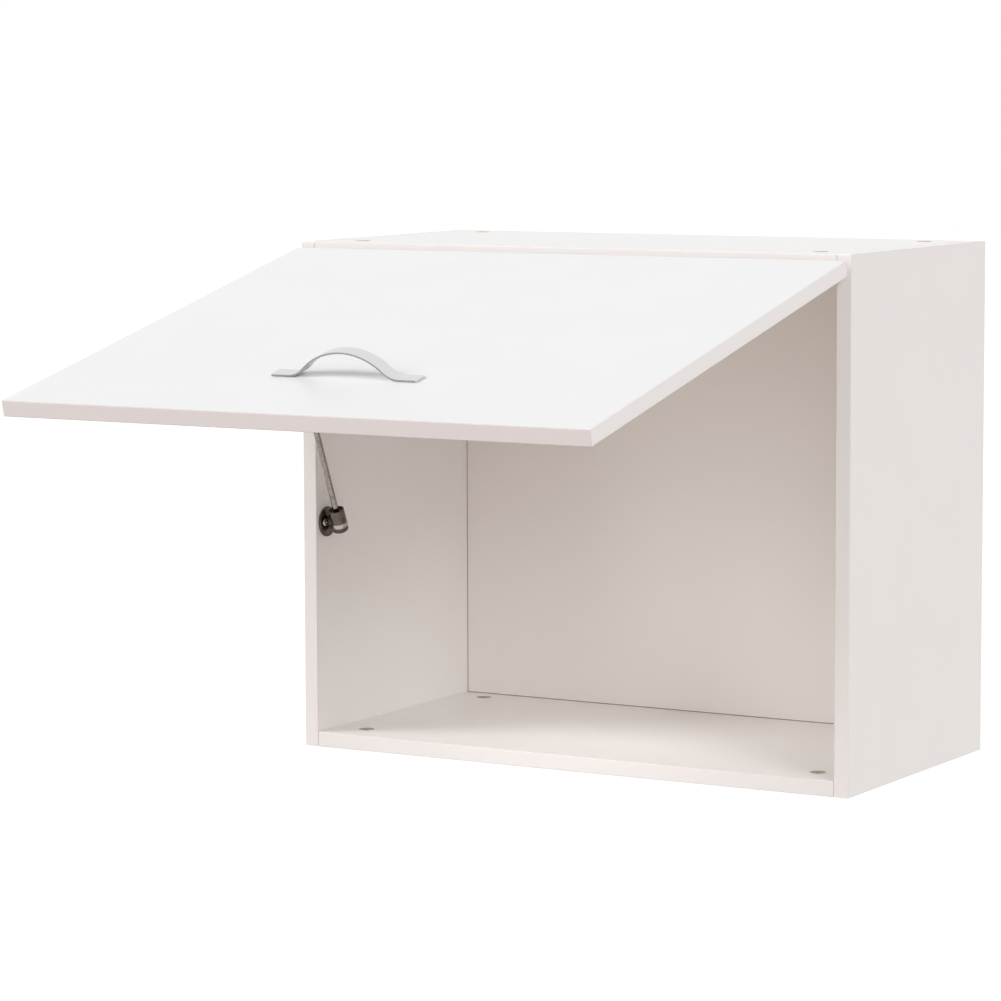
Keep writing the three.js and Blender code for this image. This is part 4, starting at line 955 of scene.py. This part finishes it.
# The bar is round. Over its last stretch its half size across the eye grows by a smooth step. The eye is a
# thick washer turned about the pin.
def stayRod():
    shape = rodShape
    low, high = localBox("stay_rod", stayPlace)
    radius, rim, hole = shape["radius"], shape["eyeRadius"], shape["pinHole"]
    top = high[2] - rim
    neck = top - shape["neck"]
    steps = [[low[2], low[2] + shape["tip"]], np.linspace(low[2] + 1, neck, shape["barRings"]),
             np.linspace(neck, top - shape["eyeInset"], shape["neckRings"])[1:]]
    z = np.concatenate(steps)[:, None]
    tip = np.where(z == low[2], shape["tip"], 0)
    wide = radius + shape["neckSpread"] * smoothStep(neck, top, z) - tip
    angle = np.linspace(0, 2 * np.pi, shape["sides"], endpoint=False)
    grid = np.stack([(radius - tip) * np.cos(angle), wide * np.sin(angle), z + 0 * angle], -1)
    rod = shell("stay_rod_bar", grid, stayPlace)
    eyePlace = (turnTowards((1, 0, 0)), stayPlace[1] + stayPlace[0] @ np.array([0, 0, top]) / 1000)
    section = [(hole, -radius), (rim, -radius), (rim, radius), (hole, radius), (hole, -radius)]
    washer = turnedSurface(softened(section, shape["eyeRounds"])[:-1], shape["eyeSides"])
    fused(rod, shell("eye", washer, eyePlace, closedRows=True))
    bore = turnedSurface(plainPost(hole, -3 * radius, 3 * radius), shape["eyeSides"])
    pierced(rod, shell("pinHole", bore, eyePlace))
    finished(rod, "rod", drawnRod, "stay_rod")


bufferShape = {"socket": 3.3, "rounds": (0, 2.6, 0.4, 0.3, 0.2, 0)}


# A round cap, turned about the rod, with a socket for the rod's end.
def stayBuffer():
    low, high = localBox("stay_end_buffer", stayPlace)
    radius, bore, top = high[0], stayFit["bore"], high[2]
    socket = top - bufferShape["socket"]
    cap = [(0, low[2]), (radius, low[2]), (radius, top), (bore, top), (bore, socket), (0, socket)]
    profile = softened(cap, bufferShape["rounds"], steps=6)
    buffer = shell("stay_end_buffer_cap", turnedSurface(profile), stayPlace)
    finished(buffer, "rod", darkNylon, "stay_end_buffer")


pinShape = {"head": 1.6, "shank": 2.5, "rounds": (0, 0.7, 0.2, 0.1, 0.5, 0), "sides": 40}


# A domed head on a round shank, turned about the pin's axis.
def stayPin():
    place = fastenerPlace("stay_pin", (1, 0, 0), pinShape["head"])
    low, high = localBox("stay_pin", place)
    head, shank = high[0], pinShape["shank"]
    rivet = [(0, high[2]), (head, high[2]), (head, 0), (shank, 0), (shank, low[2]), (0, low[2])]
    profile = softened(rivet, pinShape["rounds"])
    pin = shell("stay_pin_rivet", turnedSurface(profile, pinShape["sides"]), place)
    finished(pin, "door", zincPlate, "stay_pin")


stayBase()
stayBarrel()
stayRing()
stayRod()
stayBuffer()
stayPin()
pressedCopy("stay_bracket", "stay_bracket_pressed", "door", nickelPlate, "bracket")
print("stay built")


for hand in ("left", "right"):
    housing, hook = f"hanger_housing_{hand}", f"hanger_hook_{hand}"
    pressedCopy(housing, housing + "_moulded", "carcass", whiteAbs, "housing")
    pressedCopy(hook, hook + "_pressed", f"hook_{hand}", zincPlate, "hook")
print("hangers set")


# The floor's sizes are metres.
studio = {
    "floorDrop": 1.4, "floorSize": 80.0, "floorTone": "CCC3BD", "floorWhite": 0.5, "floorGlow": 0.66,
    "ambient": 0.27,
    "lights": {   # direction towards the lamp, its spread in degrees, and its strength
        "left": ((-0.7, -0.7, 0.3), 40, 0.8),
        "front": ((0.6, -0.8, 0.15), 40, 0.72),
        "highRight": ((0.75, -0.45, 0.55), 25, 1.27),
        "highLeft": ((-0.75, -0.45, 0.55), 25, 1.54),
    },
}
# Place and farthest in metres, turn in degrees, lens and sensor in millimetres.
cameraView = {"place": (1.86922, -3.62873, 0.67425), "turn": (83.7304, 0.1755, 30.2849), "lens": 143.878,
              "sensor": 36, "farthest": 200}


# A wide floor below the wall unit. The camera and reflections see it white with the shadow kept.
def floor():
    half = studio["floorSize"] / 2
    z = cadBounds[0][2] - studio["floorDrop"]
    mesh = bpy.data.meshes.new("floor")
    corners = [(-half, -half, z), (half, -half, z), (half, half, z), (-half, half, z)]
    mesh.from_pydata(corners, [], [(0, 1, 2, 3)])
    plane = addObject("floor", mesh)
    material, tree = emptyMaterial("palePaintedFloor")
    path = addNode(tree, "LightPath")
    matte = addNode(tree, "BsdfDiffuse", {"Color": linearColour(studio["floorTone"])})
    pale = addNode(tree, "BsdfDiffuse", {"Color": (*[studio["floorWhite"]] * 3, 1)})
    glow = addNode(tree, "Emission", {"Color": (1, 1, 1, 1), "Strength": studio["floorGlow"]})
    shown = addNode(tree, "AddShader", {}, {0: pale, 1: glow})
    seen = addNode(tree, "Math", {"operation": "MAXIMUM"},
                   {0: path.outputs["Is Camera Ray"], 1: path.outputs["Is Glossy Ray"]})
    both = addNode(tree, "MixShader", {}, {0: seen, 1: matte, 2: shown})
    addNode(tree, "OutputMaterial", {}, {"Surface": both})
    mesh.materials.append(material)


# White to the camera and in reflections, a plain soft level as light.
def world():
    place = bpy.data.worlds.new("studioWorld")
    bpy.context.scene.world = place
    place.use_nodes = True
    tree = place.node_tree
    tree.nodes.clear()
    path = addNode(tree, "LightPath")
    glossy = addNode(tree, "Math", {"operation": "MAXIMUM"},
                     {0: path.outputs["Is Glossy Ray"], 1: path.outputs["Is Transmission Ray"]})
    seen = addNode(tree, "Math", {"operation": "MAXIMUM"}, {0: path.outputs["Is Camera Ray"], 1: glossy})
    level = addNode(tree, "MapRange", {"To Min": studio["ambient"], "To Max": 1.0}, {"Value": seen})
    sky = addNode(tree, "Background", {"Color": (1, 1, 1, 1)}, {"Strength": level})
    addNode(tree, "OutputWorld", {}, {"Surface": sky})


def lamp(name, direction, spread, strength):
    light = bpy.data.lights.new(name, "SUN")
    light.angle = math.radians(spread)
    light.energy = strength
    rig = addObject(name, light)
    rig.rotation_euler = Matrix(turnTowards(direction).tolist()).to_euler()
    rig.visible_glossy = False   # gloss mirrors the white surroundings alone


def camera():
    view = bpy.data.cameras.new("photoView")
    view.lens = cameraView["lens"]
    view.sensor_width = cameraView["sensor"]
    view.clip_end = cameraView["farthest"]
    rig = addObject("photoView", view)
    rig.location = cameraView["place"]
    rig.rotation_euler = [math.radians(angle) for angle in cameraView["turn"]]
    bpy.context.scene.camera = rig


floor()
world()
for name, (direction, spread, strength) in studio["lights"].items():
    lamp(name, direction, spread, strength)
camera()
bpy.context.scene.view_settings.view_transform = "Standard"
print("studio lit")
